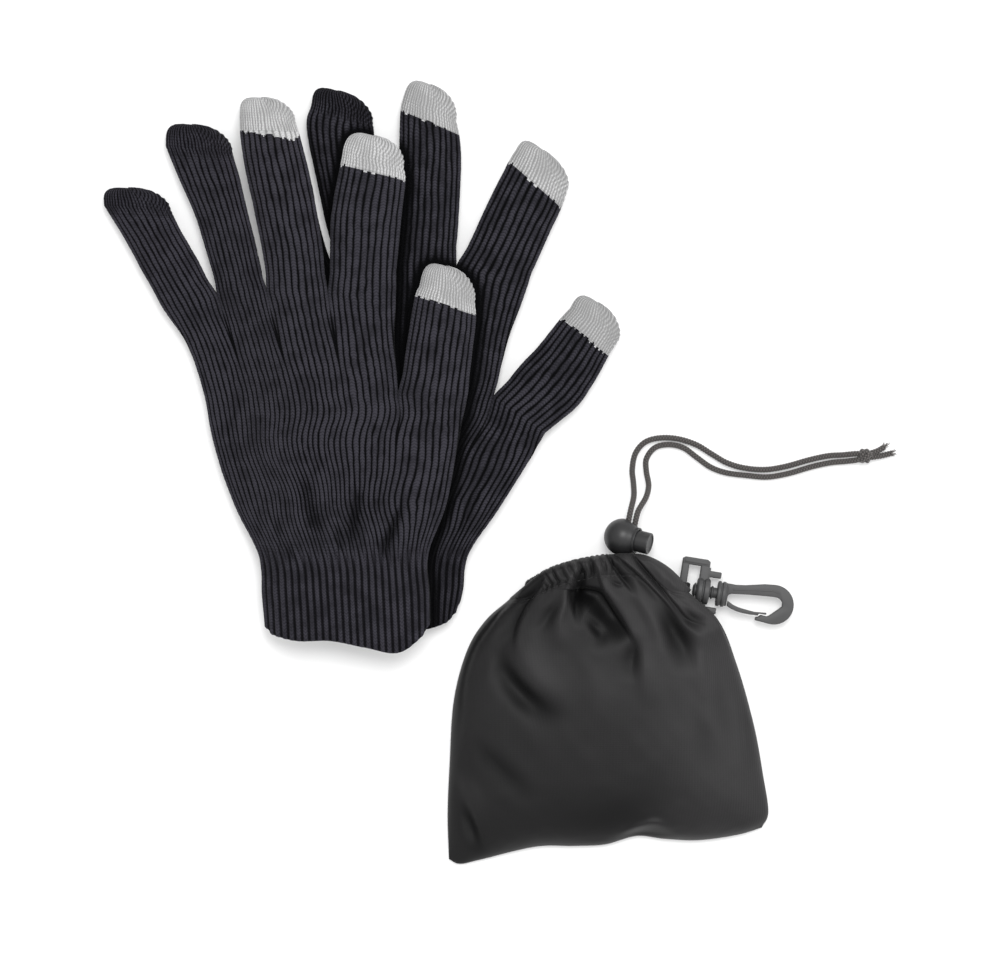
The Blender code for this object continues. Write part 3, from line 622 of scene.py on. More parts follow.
def between_lines(lines, strip, place):
    """A smooth curve through the points of the six lines, at a place from 0 to 1 across a strip."""
    low, high = lines[strip], lines[strip + 1]
    before = lines[strip - 1] if strip else 2 * low - high
    after = lines[strip + 2] if strip < 4 else 2 * high - low
    curve = (high - before) * place + (2 * before - 5 * low + 4 * high - after) * place**2
    return low + 0.5 * (curve + (3 * low - 3 * high + after - before) * place**3)


def corner_lift(far, at):
    """The cuff's edge is rounded up at its two corners, far being the distance from the nearer one."""
    return 2.4 * (1 - smooth(far / 4.2)) * smooth(1 - at / 0.7)


def squeezed(share, left, right):
    """Ribs are drawn closer together where a tube's side turns down."""
    pull = 0.1 * np.sin(np.pi * share)
    return share - left * pull * (1 - share) + right * pull * share


def fold_heights(glove, x, y):
    total = np.zeros(x.shape)
    for start, end, wide, height in glove["folds"]:
        run = np.subtract(end, start)
        length = np.linalg.norm(run)
        along = ((x - start[0]) * run[0] + (y - start[1]) * run[1]) / length**2
        off = ((x - start[0]) * run[1] - (y - start[1]) * run[0]) / length
        ends = smooth(along / 0.55 + 0.35) * smooth((1 - along) / 0.45 + 0.3)
        total += height * ends * np.exp(-((off / wide) ** 2))
    return total


def hand_face(glove, strip, share, side, resting):
    """Points of one face of the hand below a finger, without ribs, and their row numbers."""
    rows = body_rows(glove, strip)
    lines = [line_of(glove, k, rows) for k in range(5)] + [line_of(glove, 5, rows)]
    t = rows[:, None]
    root_near = smooth((t - 6.55) / 0.45) ** 1.5 if strip < 4 else np.zeros(t.shape)
    thumb_near = smooth((t - 4.2) / 0.8) ** 1.5
    root_early, thumb_early = smooth((t - 5.0) / 2.0), smooth((t - 3.4) / 1.6)
    left_edge = 1.0 if strip == 0 else (thumb_early if strip == 4 else root_early)
    right_edge = 1.0 if strip == 4 else (np.maximum(root_early, thumb_early) if strip == 3 else root_early)
    s = squeezed(share, left_edge, right_edge)
    low, high = lines[strip][:, None, :], lines[strip + 1][:, None, :]
    width = np.linalg.norm(high - low, axis=2)
    trim_left = PALM_RIB / width * (1.0 if strip == 0 else 0.0)
    trim_right = PALM_RIB / width * (1.0 if strip == 4 else 0.0)
    place = (trim_left + s * (1 - trim_left - trim_right))[..., None]
    straight = low + (high - low) * place
    curved = between_lines([line[:, None, :] for line in lines], strip, place)
    flat = curved + (straight - curved) * smooth((t - 2) / 1.5)[..., None]
    spans = [np.linalg.norm(lines[k + 1] - lines[k], axis=1)[:, None] for k in range(5)]
    before = sum(spans[:strip], np.zeros((len(rows), 1)))
    at = before + spans[strip] * s
    with_thumb = bulge(at / sum(spans))
    without = bulge(s) if strip == 4 else bulge(at / sum(spans[:4]))
    high_now = (1 - thumb_near) * with_thumb + thumb_near * without
    high_now = (1 - root_near) * high_now + root_near * bulge(s)
    thick = thickness_at(rows)[:, None] / 2 - PALM_RIB
    sway = 1.3 * np.sin(t * 2.3 + 0.8 * strip + share * 0.8) + 0.8 * np.sin(t * 4.7 - 0.7 * (strip + share))
    sway = sway * smooth((t - 2) / 1.2) * (1 - root_near)
    inner = smooth(np.minimum(at, sum(spans) - at) / 22) * (1 - thumb_near)
    flat = flat + (high - low) / width[..., None] * (sway * inner)[..., None]
    flat[..., 1] += corner_lift(np.minimum(at, sum(spans) - at), t)
    x, y = flat[..., 0], flat[..., 1]
    rise = side * thick * high_now
    if side > 0:
        rise = rise + fold_heights(glove, x, y) * bulge(at / sum(spans)) ** 2 * (1 - root_near)
    return np.dstack([x, y, resting(x, y) + thick + PALM_RIB + rise]), rows


def finger_face(glove, strip, share, side, resting):
    """Points of one face of a finger, without ribs, and their row numbers."""
    finger = glove["fingers"][FINGER_NAMES[strip]]
    rungs = finger["rungs"]
    last = len(rungs) - 1
    edges = [along_points([rung[k] for rung in rungs], np.linspace(0, last, 60)) for k in (0, 1)]
    length = np.linalg.norm(np.diff((edges[0] + edges[1]) / 2, axis=0), axis=1).sum()
    places = np.linspace(0, last, int(length / ROW_STEP) + 1)[1:]
    turns = np.linspace(0, 1, int(finger["cap"] / ROW_STEP * 1.6) + 2)[1:]
    count = len(places)
    run = np.concatenate([places, np.full(len(turns), float(last))])
    turn = np.concatenate([np.zeros(count), turns * math.pi / 2])[:, None]
    low, high = (along_points([rung[k] for rung in rungs], run)[:, None, :] for k in (0, 1))
    half = (high - low) / 2
    width = np.linalg.norm(half, axis=2) * 2
    ahead = np.stack([-half[..., 1], half[..., 0]], axis=-1) / (width / 2)[..., None]
    inset = FINGER_RIB + 0.3
    inset_low = inset + (PALM_RIB * (strip == 0) - inset) * (1 - smooth(run / 0.6)[:, None])
    inset_high = inset + (PALM_RIB * (strip == 4) - inset) * (1 - smooth(run / 0.6)[:, None])
    s = squeezed(share, 1.0, 1.0) * 2 - 1
    wide = (1 - (inset_low + inset_high) / width) * np.cos(turn) ** TIP_BLUNT
    middle = (low + high) / 2 + ahead * ((finger["cap"] - FINGER_RIB) * np.sin(turn))[..., None]
    middle = middle - half * (finger.get("lean", TIP_LEAN) * np.sin(turn) ** 1.5)[..., None]
    flat = middle + half * (s * wide + (inset_low - inset_high) / width)[..., None]
    x, y = flat[..., 0], flat[..., 1]
    grown = FINGER_THICKNESS + (TIP_THICKNESS - FINGER_THICKNESS) * run / last
    start = GLOVE_THICKNESS[THUMB_ROOT if strip == 4 else FINGER_ROOT]
    thick = (start + (grown - start) * smooth(run))[:, None] / 2 - FINGER_RIB
    centre = resting(middle[..., 0], middle[..., 1]) if glove["name"] == "left" else np.zeros((len(run), 1))
    under = resting(x, y) * (1 - np.sin(turn)) + centre * np.sin(turn)
    rise = side * thick * bulge((s + 1) / 2) * np.cos(turn) ** 0.55
    points = np.dstack([x, y, under + thick + FINGER_RIB + rise])
    return points, np.concatenate([ON_FINGER + places, IN_CAP + turns])


def strip_grid(glove, strip, steps, side, resting):
    """Points of one face of a strip of knit from the cuff to the fingertip, and their row numbers."""
    share = np.linspace(0, 1, steps + 1)[None, :]
    hand, rows = hand_face(glove, strip, share, side, resting)
    finger, numbers = finger_face(glove, strip, share, side, resting)
    return np.vstack([hand, finger]), np.concatenate([rows, numbers])


def ribs_across(phase, sharpness):
    """Rib heights, 0 in the valleys and 1 on the crowns, at places counted in ribs."""
    return 1 - np.abs(2 * (phase % 1) - 1) ** sharpness


# No painted shadow anywhere.
def no_painted_shadow(x, y):
    return np.zeros(x.shape)


def painted_shadow_beside(glove, resting):
    """The painted shadow beside a glove on the knit under it: 1 at the glove's outline, 0 away from it."""
    edges = []
    left_from = (0, FINGER_ROOT, FINGER_ROOT, FINGER_ROOT, ON_FINGER)  # where each strip's sides are free
    right_from = (FINGER_ROOT, FINGER_ROOT, FINGER_ROOT, THUMB_ROOT, 0)
    for strip in range(5):
        points, numbers = strip_grid(glove, strip, 8, 1, resting)
        edges.append(points[numbers >= left_from[strip], 0])
        edges.append(points[numbers >= right_from[strip], -1])
    outline = np.concatenate(edges)[:, :2]
    step, west, south = 1.0, -66.0, -72.0
    across, up = np.arange(west, 24.0, step), np.arange(south, 152.0, step)
    spots = np.stack(np.meshgrid(across, up, indexing="ij"), axis=-1)
    far = np.full(spots.shape[:2], 99.0)
    for edge in outline:
        far = np.minimum(far, np.hypot(spots[..., 0] - edge[0], spots[..., 1] - edge[1]))
    # Painted shadow: darkest at the upper glove's outline, fading out a few millimetres away.
    shadow_darkness = smooth(1 - far / SHADOW_REACH)

    def painted_shadow(x, y):
        u = np.clip((x - west) / step, 0, len(across) - 1.001)
        v = np.clip((y - south) / step, 0, len(up) - 1.001)
        i, j = u.astype(int), v.astype(int)
        u, v = u - i, v - j
        low = shadow_darkness[i, j] * (1 - v) + shadow_darkness[i, j + 1] * v
        high = shadow_darkness[i + 1, j] * (1 - v) + shadow_darkness[i + 1, j + 1] * v
        return low * (1 - u) + high * u

    return painted_shadow


def toe_gathers(finger, strip, side, share, at, gone):
    """The closed end's gathers, along its sloping shoulder in short creases across the slope.
    Gives how far a place is in them, and their height from -1 to 1."""
    wide = np.linalg.norm(np.subtract(*finger["rungs"][-1]))
    along_slope = 0.73 * share * wide - 0.68 * gone
    rough = wander((len(at), share.shape[1]), (14, 9), 5 + strip)
    pleat = np.sin(2 * np.pi * along_slope / TOE_PLEAT + 1.9 * rough)
    from_end = gone[-1] - gone
    toe = smooth(1.25 - (from_end + 11 * (0.95 - share)) / 15) * smooth((share - 0.38) / 0.3)
    return toe * (1 - smooth(at - (IN_CAP + 1.2))) * (0.5 + 0.5 * side), pleat


def open_to_light(glove, x, y, at, painted_shadow):
    """How open the upper knit is to the light, as painted shade: dark in the puckers' dips above the cuff, a
    little lighter on their ridges, and dark in the painted shadow beside the other glove.
    """
    dips = fold_heights(glove, x, y) * (at < FINGER_ROOT)
    return (1 + 0.13 * np.clip(dips, -3, 0.6)) * (1 - 0.8 * painted_shadow(x, y))


def strip_faces(glove, strip, side, resting, painted_shadow):
    """One face of a strip with its ribs: points, painted shades, knit coordinates across and along, row
    numbers.
    """
    steps = FRONT_STEPS if side > 0 else BACK_STEPS
    finger = glove["fingers"][FINGER_NAMES[strip]]
    base, numbers = strip_grid(glove, strip, steps, side, resting)
    rows, columns = base.shape[:2]
    share = np.linspace(0, 1, columns)[None, :]
    at = numbers[:, None]
    start, span = (3.8, 1.2) if strip == 4 else (5.5, 1.5)
    count = PALM_RIBS + (FINGER_RIBS - PALM_RIBS) * smooth((at - start) / span)
    phase = (share - 0.5) * count + PALM_RIBS / 2
    seams = smooth(np.minimum(share, 1 - share) / 0.14)
    phase = phase + 0.12 * wander((rows, columns), (rows // 14, 7), 40 + strip) * seams
    phase = phase + 0.07 * wander((rows, columns), (rows // 3, 22), 60 + strip) * seams
    closing = smooth(np.minimum(share, 1 - share) * count / 0.45)
    closing = 1 - (1 - closing) * ribs_across((count - PALM_RIBS) / 2, 2.0)
    fine = ribs_across(phase, 2.7) * closing
    pairs = share * CUFF_RIBS
    broad = ribs_across(pairs, 1.9) * (0.8 + 0.2 * np.abs(np.sin(2 * np.pi * pairs)))
    broad = np.maximum(broad, 0.42 * ribs_across(pairs + 0.5, 9.0) ** 6)
    in_cuff = 1 - smooth((at - 1.65) / 0.85)
    last = len(finger["rungs"]) - 1
    yarn = finger["yarn"] if finger["yarn"] else last - 0.3
    at_tip = smooth((at - ON_FINGER - yarn) / (0.1 if finger["yarn"] else 0.8) + 0.5)
    in_tip = 0.12 * ribs_across(phase, 2.0) * closing + 0.88 * ribs_across(2 * phase, 1.7)
    rib = (broad * in_cuff + fine * (1 - in_cuff)) * (1 - at_tip) + in_tip * at_tip
    on_finger = smooth((at - ON_FINGER) / 2)
    tall = PALM_RIB + (CUFF_RIB - PALM_RIB) * in_cuff + (FINGER_RIB - PALM_RIB) * on_finger
    tall = tall * (1 - 0.55 * at_tip) * (1 - 0.6 * smooth(at - (IN_CAP + 0.3)))
    uneven = 1 + 0.2 * wander((rows, columns), (rows // 6, columns // 6), 11 * strip + side + 3)
    normal = normals_of(base) * side
    middle = base[:, columns // 2]
    gone = distance_along(middle)[:, None]
    stitches = gone / COURSE
    height = tall * rib * uneven + 0.05 * np.cos(2 * np.pi * stitches) * rib
    toe, pleat = toe_gathers(finger, strip, side, share, at, gone)
    height = height * (1 - 0.65 * toe) + toe * (0.24 + 0.26 * pleat) * closing
    points = base + normal * height[..., None]
    points[..., 1] -= 0.55 * broad * smooth(1 - at / 0.16)
    # Painted shade: dark in the ribs' valleys and in the creases of the toe gathers.
    shade = rib * (1 - toe) + toe * (0.62 + 0.38 * pleat)
    if side > 0:
        # Painted shade in the puckers, and the painted shadow beside the upper glove.
        shade = shade * open_to_light(glove, points[..., 0], points[..., 1], at, painted_shadow)
    shade = shade * (RIGHT_SHADE if glove["name"] == "right" else 1.0)
    shade = shade * (1 - (1 - THUMB_TIP_SHADE) * at_tip * (strip == 4))
    columns_of_stitches = np.where(in_cuff > 0.5, 2 * pairs, np.where(at_tip > 0.5, 2 * phase, phase))
    return points, shade, columns_of_stitches, stitches, numbers


def yarn_teeth(finger, strip, columns):
    """The jagged line where the touch yarn starts, as steps in row number across the finger."""
    places = np.linspace(0, 2 * FINGER_RIBS, columns)[None, :]
    teeth = 0.06 * (np.abs(places % 2 - 1) - 0.5)
    teeth = teeth + 0.06 * wander((1, columns), (1, 2 * FINGER_RIBS), 7 + strip)[:1]
    return teeth - finger.get("slant", 0.0) * np.interp(places / (2 * FINGER_RIBS), (0, 0.85, 1), (0, 1, 0.4))


def make_glove(glove, resting, looks, painted_shadow=no_painted_shadow):
    """One glove's pieces: palm, cuff, and each finger with its touch-yarn tip."""
    name = glove["name"]
    palm, cuff = Weave(), Weave()
    made = {}
    for strip, finger_name in enumerate(FINGER_NAMES):
        finger = glove["fingers"][finger_name]
        tube, tip = Weave(), Weave()
        for side in (1, -1):
            points, shade, across, stitches, numbers = strip_faces(glove, strip, side, resting, painted_shadow)
            columns = points.shape[1] - 1
            middle = np.repeat((numbers[:-1] + numbers[1:])[:, None] / 2, columns, axis=1)
            on_finger = middle > HAND_END
            chosen = [(cuff, middle < CUFF_TOP), (palm, (middle > CUFF_TOP) & ~on_finger)]
            if finger["yarn"]:
                grey = middle > ON_FINGER + finger["yarn"] + yarn_teeth(finger, strip, columns)
                chosen += [(tip, grey & on_finger), (tube, ~grey & on_finger)]
            else:
                chosen += [(tube, on_finger)]
            for weave, keep in chosen:
                weave.add(points, shade, across, stitches, keep, side < 0)
        made[finger_name] = (tube.finish(f"{name}_{finger_name}_knit", looks["black"]),
                             tip.finish(f"{name}_{finger_name}_tip_knit", looks["grey"])
                             if finger["yarn"] else None)
    add_cuff_lining(glove, cuff, resting)
    for weave, node in ((palm, name + "_palm"), (cuff, name + "_cuff")):
        place_piece(weave.finish(node + "_knit", looks["black"]), node, name + "_glove")
    for finger_name, (tube, tip) in made.items():
        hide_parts(f"{name}_{finger_name}")
        if tip:
            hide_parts(f"{name}_{finger_name}_touch_tip")
        attach_finger(glove, finger_name, tube, tip)


def attach_finger(glove, finger_name, tube, tip):
    """Puts a finger's knit on the palm's body where that finger has no body of its own; where it has one, the
    tube stays where it lies and its touch-yarn tip rides the finger's body.
    """
    name = glove["name"]
    body = name + "_" + finger_name.replace("_finger", "")
    palm_body = name + "_glove"
    if body not in frame["bodies"]:
        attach(tube, palm_body)
        if tip:
            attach(tip, palm_body)
        return
    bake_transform(tube)
    if tip:
        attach(tip, body)


def add_cuff_lining(glove, cuff, resting):
    """The cuff's edge turned in, and the inner face of the knit as far as can be seen."""
    at = np.linspace(0, LINING_TOP, LINING_ROWS)
    lines = [line_of(glove, k, at) for k in range(6)]
    spans = [np.linalg.norm(lines[k + 1] - lines[k], axis=1) for k in range(5)]
    total = sum(spans)
    drawn = squeezed(np.linspace(0, 1, LINING_STEPS + 1), 0.8, 0.8)
    for side in (1, -1):
        rings = []
        for inset in (CUFF_RIB * 0.4, KNIT_THICK):
            grid = np.zeros((len(at), len(drawn), 3))
            for r in range(len(at)):
                knots = np.concatenate([[0], np.cumsum([span[r] for span in spans])]) / total[r]
                kept = inset / total[r] + drawn * (1 - 2 * inset / total[r])
                here = [line[r] for line in lines]
                for k in range(5):
                    inside = (kept >= knots[k]) & (kept <= knots[k + 1])
                    place = (kept[inside] - knots[k]) / (knots[k + 1] - knots[k])
                    grid[r, inside, :2] = between_lines(here, k, place[:, None])
                grid[r, :, 1] += corner_lift(np.minimum(kept, 1 - kept) * total[r], at[r])
                thick = thickness_at(at[r]) / 2
                x, y = grid[r, :, 0], grid[r, :, 1]
                grid[r, :, 2] = resting(x, y) + thick + side * (thick - inset) * bulge(drawn)
            rings.append(grid)
        outer, inner = rings
        ribs = np.linspace(0, LINING_STEPS / 2, LINING_STEPS + 1)[None, :]
        cuff.add(inner, LINING_SHADE, ribs, (at * 12)[:, None], None, side > 0)
        rim = np.stack([outer[0], (outer[0] + inner[0]) / 2 - [0, 0.5, 0], inner[0]])
        cuff.add(rim, LINING_SHADE, ribs, np.arange(3)[:, None], None, side > 0)


# ---------------------------------------------------------------- pouch

POUCH_LEFT = ((22, -48.5), (13, -56.5), (6, -68), (1, -87), (-0.6, -112), (-1.3, -130), (-0.8, -147))
POUCH_RIGHT = ((90, -45.5), (101, -56), (108.5, -73), (115, -96), (118.5, -115), (120.5, -129), (118, -135))
POUCH_TOP = ((22, -48.5), (30, -46.9), (39, -41.8), (48, -39.0), (56, -37.3), (66, -37.0), (75, -38.6),
             (82, -43.8), (90, -45.5))
HEM_TOP = ((22.6, -47.6), (27.9, -42.9), (36, -36.8), (46, -33.3), (55, -31.6), (65.5, -30.7), (74, -31.5),
           (82.6, -36.2), (90.8, -44.6))
# The bottom edge's waves: places across from -1 to 1, and how far each is moved along Y.
BOTTOM_WAVES = ((-1, 0), (-0.93, -2.2), (-0.8, -1.4), (-0.45, 1.4), (-0.2, 0.2), (0.0, -0.4), (0.2, 1.6),
                (0.38, -0.6), (0.6, -2.4), (0.85, -1.8), (1, 0))
POUCH_TALL = 17.0
POUCH_CLOTH, BACK_THICK = 0.9, 0.45
CLIP_EDGE, CLIP_EDGE_REACH, CLIP_EDGE_LIFT = (94, -50), 17.0, 10.4

# Folds of the front cloth: the line from the mouth down, its half widths on the west and east sides,
# its height, and whether it starts at its full height.
CREASES = (
    (((25.5, -44.5), (16.8, -55), (8.9, -66), (4.8, -78), (3.6, -92), (3.0, -104)), 0.9, 1.0, -1.6, 1),
    (((34, -42), (28.6, -49.6), (24.6, -57.2), (23.2, -64), (24, -72)), 4.0, 0.9, -2.0, 1),
    (((17.5, -63), (21, -75), (27, -83.5), (35, -89.5), (45, -96)), 4.2, 3.2, -3.8, 0),
    (((26, -56), (26.5, -66), (31, -76), (40, -85), (50, -92)), 3.5, 5.5, 1.6, 0),
    (((43, -45), (36.5, -55.5), (30, -63)), 2.0, 2.0, -1.5, 0),
    (((46.8, -36), (42.8, -49), (40.8, -57), (42, -69)), 2.0, 1.7, 1.9, 1),
    (((48.8, -38), (47, -48), (48.4, -60)), 1.0, 2.2, -2.4, 1),
    (((49, -45), (56, -50), (62, -58), (66, -66)), 6.0, 4.5, -3.0, 1),
    (((48.5, -44.3), (53, -44.6), (57.2, -46.4), (61.3, -53), (65.6, -60), (69, -67)), 4.8, 1.0, -4.4, 1),
    (((54.5, -33), (58.3, -44.5), (62.6, -51.3), (67, -58.1), (70.6, -64), (72.5, -73)), 0.9, 3.4, 2.3, 1),
    (((69.5, -60), (68.6, -69), (67.5, -80)), 3.0, 2.0, -2.0, 0),
    (((73.5, -62), (73, -75), (75, -90)), 2.4, 4.5, 1.2, 0),
    (((59.0, -32), (64.1, -39.4), (71, -47.5)), 0.6, 1.5, -1.8, 1),
    (((59.5, -40.5), (63.5, -42.4), (66, -41.2)), 0.7, 0.6, -0.8, 0),
    (((62.4, -31.8), (69.2, -37.7), (76, -44.5), (82, -51.4), (87, -59)), 1.5, 0.5, -2.1, 1),
    (((69.2, -32), (77.7, -42.0), (84.4, -50.2), (90, -56.2), (99, -58.6)), 1.5, 0.5, -2.3, 1),
    (((87, -51), (92, -55.5), (98, -57)), 2.6, 1.4, -2.2, 0),
    (((76, -33), (84, -41), (92, -50), (99, -62)), 3.2, 3.2, 2.2, 1),
    (((66, -33), (74, -41), (81.5, -48.5), (88, -58)), 2.0, 2.2, 1.7, 1),
    (((77, -46), (83, -57), (87.2, -66), (84.5, -77)), 4.4, 3.4, -4.4, 0),
    (((66, -40), (74, -52), (79, -62), (80.5, -78)), 2.6, 3.0, 1.8, 0),
    (((90, -60), (94, -70), (96, -88)), 3.0, 5.0, 1.8, 0),
    (((6, -98), (20, -113), (33, -125)), 4.5, 2.6, -1.2, 0),
    (((4.5, -122), (8.6, -136), (13, -146)), 2.4, 1.6, -2.4, 0),
    (((0, -110), (8, -122), (14, -136)), 3.0, 3.0, 0.9, 0),
    (((62, -138), (70, -134), (77, -132.4), (86, -136)), 1.5, 1.2, 1.3, 0),
    (((62, -140), (74, -136.8), (87, -138.5)), 1.8, 1.8, -1.6, 0),
    (((97, -64), (102.5, -86), (108, -114)), 3.2, 3.2, -1.2, 0),
    (((90, -86), (95, -102), (96, -122)), 3.0, 4.0, -0.9, 0),
    (((49.5, -53), (53.5, -57.5), (56.5, -62), (53.5, -69)), 1.8, 1.8, -1.3, 0),
    (((110, -80), (112.5, -100), (114.5, -122)), 1.8, 2.0, -1.0, 0),
    (((48, -66), (56, -82), (58, -102)), 5.0, 6.0, 0.9, 0),
    (((30, -126), (55, -131), (80, -124), (100, -128)), 6.0, 5.0, -0.8, 0),
)
PLEAT, SMALL_PLEAT = 3.1, 1.6  # spacing of the gathers in the hem, and of the finer ones on them
GATHERED_FROM, GATHERED_TO = 33, 63  # X of the gathered stretch's two ends
HEM_OVER, CURL_FROM, CURL_DEEP = 1.12, 0.62, 6.5  # how far the hem's top turns over, where from and how deep
FRONT_COLUMNS, FRONT_ROWS = 330, 250
HEM_STITCH, STITCH_LONG, STITCH_GAP = 0.022, 1.5, 1.1  # place of the hem's seam, and its stitches
STITCHES_FROM_EDGE = 14.0  # from the hem's two ends to its first and last stitch
HEM_ROWS, STITCH_ROW = 44, 10  # grid rows of cloth above the seam's edge, and from there to the stitches


def crease_heights(x, y):
    """The sum of all the folds' heights at points x, y."""
    total = np.zeros(x.shape)
    for points, west, east, height, head in CREASES:
        line = even_route([(*p, 0.0) for p in points], 0.8)[:, :2]
        nearest = np.full(x.shape, 1e9)
        signed = np.zeros(x.shape)
        share = np.zeros(x.shape)
        for i, (a, b) in enumerate(zip(line, line[1:])):
            run = b - a
            length = np.hypot(*run)
            at = np.clip(((x - a[0]) * run[0] + (y - a[1]) * run[1]) / length**2, 0, 1)
            far = np.hypot(x - a[0] - run[0] * at, y - a[1] - run[1] * at)
            turn = (x - a[0]) * run[1] - (y - a[1]) * run[0]
            closer = far < nearest
            nearest = np.where(closer, far, nearest)
            signed = np.where(closer, -np.sign(turn) * far, signed)
            share = np.where(closer, (i + at) / (len(line) - 1), share)
        wide = np.where(signed > 0, east, west) * (0.8 + 0.8 * share)
        ends = np.maximum(head, smooth(share / 0.45)) * smooth((1 - share) / 0.5)
        total += height * ends * np.exp(-((signed / wide) ** 2))
    return total


def pouch_lift(x, y):
    far = np.hypot(x - CLIP_EDGE[0], y - CLIP_EDGE[1])
    return CLIP_EDGE_LIFT * smooth(1.6 - far / CLIP_EDGE_REACH)


def pouch_places(side, down):
    """X and Y of the cloth at a place across, -1 to 1, and down from the seam at 0 to the bottom at 1."""
    lines = [along_points(edge, down[:, 0] * (len(edge) - 1)) for edge in (POUCH_LEFT, POUCH_RIGHT)]
    left, right = (line[:, None, :] for line in lines)
    share = (side + 1) / 2
    gathered = along_points(POUCH_TOP, share[0] * (len(POUCH_TOP) - 1))[None]
    straight = POUCH_LEFT[0] + np.subtract(POUCH_RIGHT[0], POUCH_LEFT[0]) * share[..., None]
    places = left + (right - left) * share[..., None] + (gathered - straight) * ((1 - down) ** 2)[..., None]
    wave_line = along_points(BOTTOM_WAVES, np.linspace(0, len(BOTTOM_WAVES) - 1, 160))
    waves = np.interp(side[0], wave_line[:, 0], wave_line[:, 1])[None, :]
    places[..., 1] += waves * smooth((down - 0.8) / 0.2)
    return places


def hem_gathers(x, run, hem, reach, across):
    """Heights of the gathers in the hem, and where they are: 0 outside them and 1 inside."""
    phase = run / PLEAT + 0.8 * wander(x.shape, (5, 16), 21) + 0.35 * hem
    finer = run / SMALL_PLEAT + 0.6 * wander(x.shape, (6, 30), 22)
    pleats = np.abs(np.sin(np.pi * phase)) ** 1.4 + 0.3 * np.abs(np.sin(np.pi * finer)) - 0.85
    gathered = smooth((x - GATHERED_FROM) / 4) * smooth((GATHERED_TO - x) / 4)
    return pleats, gathered * smooth((reach + 0.75) / 0.9) * smooth((across - 0.1) / 0.3)


def front_cloth():
    """Points of the pouch's front cloth, from the turned-in top of its hem down to its bottom seam,
    and the painted light and shade on each."""
    side = np.linspace(-1, 1, FRONT_COLUMNS + 1)
    side = np.sign(side) * (1 - (1 - np.abs(side)) ** 1.35)[None, :]
    down = (np.linspace(0, 1, FRONT_ROWS + 1) ** 1.12)[:, None]
    down = 1 - (1 - down) ** 1.12
    body = pouch_places(side, down)
    hem = np.linspace(HEM_OVER, 0, HEM_ROWS, endpoint=False)[:, None]
    share = (side + 1) / 2
    top = along_points(HEM_TOP, share[0] * (len(HEM_TOP) - 1))[None]
    hem_places = body[:1] + (top - body[:1]) * np.minimum(hem, 1.0)[..., None]
    flat = np.concatenate([hem_places, body])
    x, y = flat[..., 0], flat[..., 1]
    down = np.concatenate([np.zeros(hem.shape), down])
    hem = np.concatenate([hem, np.zeros((FRONT_ROWS + 1, 1))])
    across = np.maximum(0.0, 1 - np.abs(side) ** 3.0) ** 0.55
    bottom = np.maximum(0.0, 1 - down**6) ** 0.6
    full = (POUCH_TALL - 2 * POUCH_CLOTH) * across * bottom
    lifted = pouch_lift(x, y)
    held = lifted + 0.15 * full
    z = POUCH_CLOTH + 0.35 + 0.5 * (full + held + np.sqrt((full - held) ** 2 + (0.6 * lifted) ** 2))
    z = z - 0.3 * lifted * (1 - smooth(full / 4))
    free = smooth(full / 7) * smooth((1 - np.abs(side)) / 0.1)
    folds = crease_heights(x, y)
    waves = 0.7 * wander(x.shape, (7, 7), 4) + 0.12 * wander(x.shape, (30, 30), 9)
    z = z + (folds * (1 - 0.6 * smooth(hem * 1.4)) + waves) * free
    reach = hem - down / 0.09  # 0 at the seam's edge, more than 1 at the top, and below 0 down the cloth
    over = smooth((reach + 0.7) / 1.2) * (1 - smooth((hem - 0.6) / 0.5) * 0.25)
    z = z + over * 2.4 * smooth((across - 0.25) / 0.5)
    curl = np.clip((hem - CURL_FROM) / (HEM_OVER - CURL_FROM), 0, 1)
    z = z - (1 - np.sqrt(1 - curl**2)) * CURL_DEEP * across
    run = distance_along(flat[HEM_ROWS // 2])[None, :]
    pleats, gathered = hem_gathers(x, run, hem, reach, across)
    z = z + (1.35 - 0.5 * smooth(hem)) * pleats * gathered
    seam = np.exp(-(((down - HEM_STITCH) / 0.005) ** 2)) * (hem == 0)
    z = z - 0.22 * seam * across
    # Painted light and shade: lighter towards the right side, darker towards the bottom, dark in the creases,
    # lighter on the ridges and on the gathers' crowns.
    shade = 0.49 - 0.14 * smooth((down - 0.3) / 0.5) + 0.42 * smooth((x - 58) / 50)
    shade = shade + 0.17 * np.clip(folds, -4, 2) + 0.4 * pleats * gathered
    return np.dstack([x, y, z]), np.clip(shade, 0, 1)


def back_cloth():
    """Points of the back cloth, flat on the table but for small wrinkles and the clip under its corner."""
    side = np.linspace(-1, 1, 121)[None, :]
    down = np.linspace(0, 1, 131)[:, None]
    places = pouch_places(side, down)
    x, y = places[..., 0], places[..., 1]
    rim = smooth((1 - np.abs(side)) / 0.12) * smooth((1 - down) / 0.12)
    wrinkles = 0.22 + 0.2 * wander(x.shape, (16, 14), 31) * rim
    return np.dstack([x, y, wrinkles + pouch_lift(x, y)])


def make_pouch(looks):
    cloth = Weave()
    front, shade = front_cloth()
    cloth.add(front, shade, 0.0, 0.0, None, True)
    front_piece = cloth.finish("pouch_front_cloth", looks["satin"])
    cloth = Weave()
    back = back_cloth()
    cloth.add(back, 0.5, 0.0, 0.0)
    cloth.add(back + [0, 0, BACK_THICK], 0.5, 0.0, 0.0, None, True)
    back_piece = cloth.finish("pouch_back_cloth", looks["satin"])
    stitches = make_stitches(front, looks["satin"])
    channel = make_channel(looks["satin"])
    place_piece(front_piece, "pouch_front", "pouch")
    place_piece(back_piece, "pouch_back", "pouch")
    place_piece(channel, "pouch_mouth_channel", "pouch")
    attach(stitches, "pouch")
    make_tab(looks["satin"])


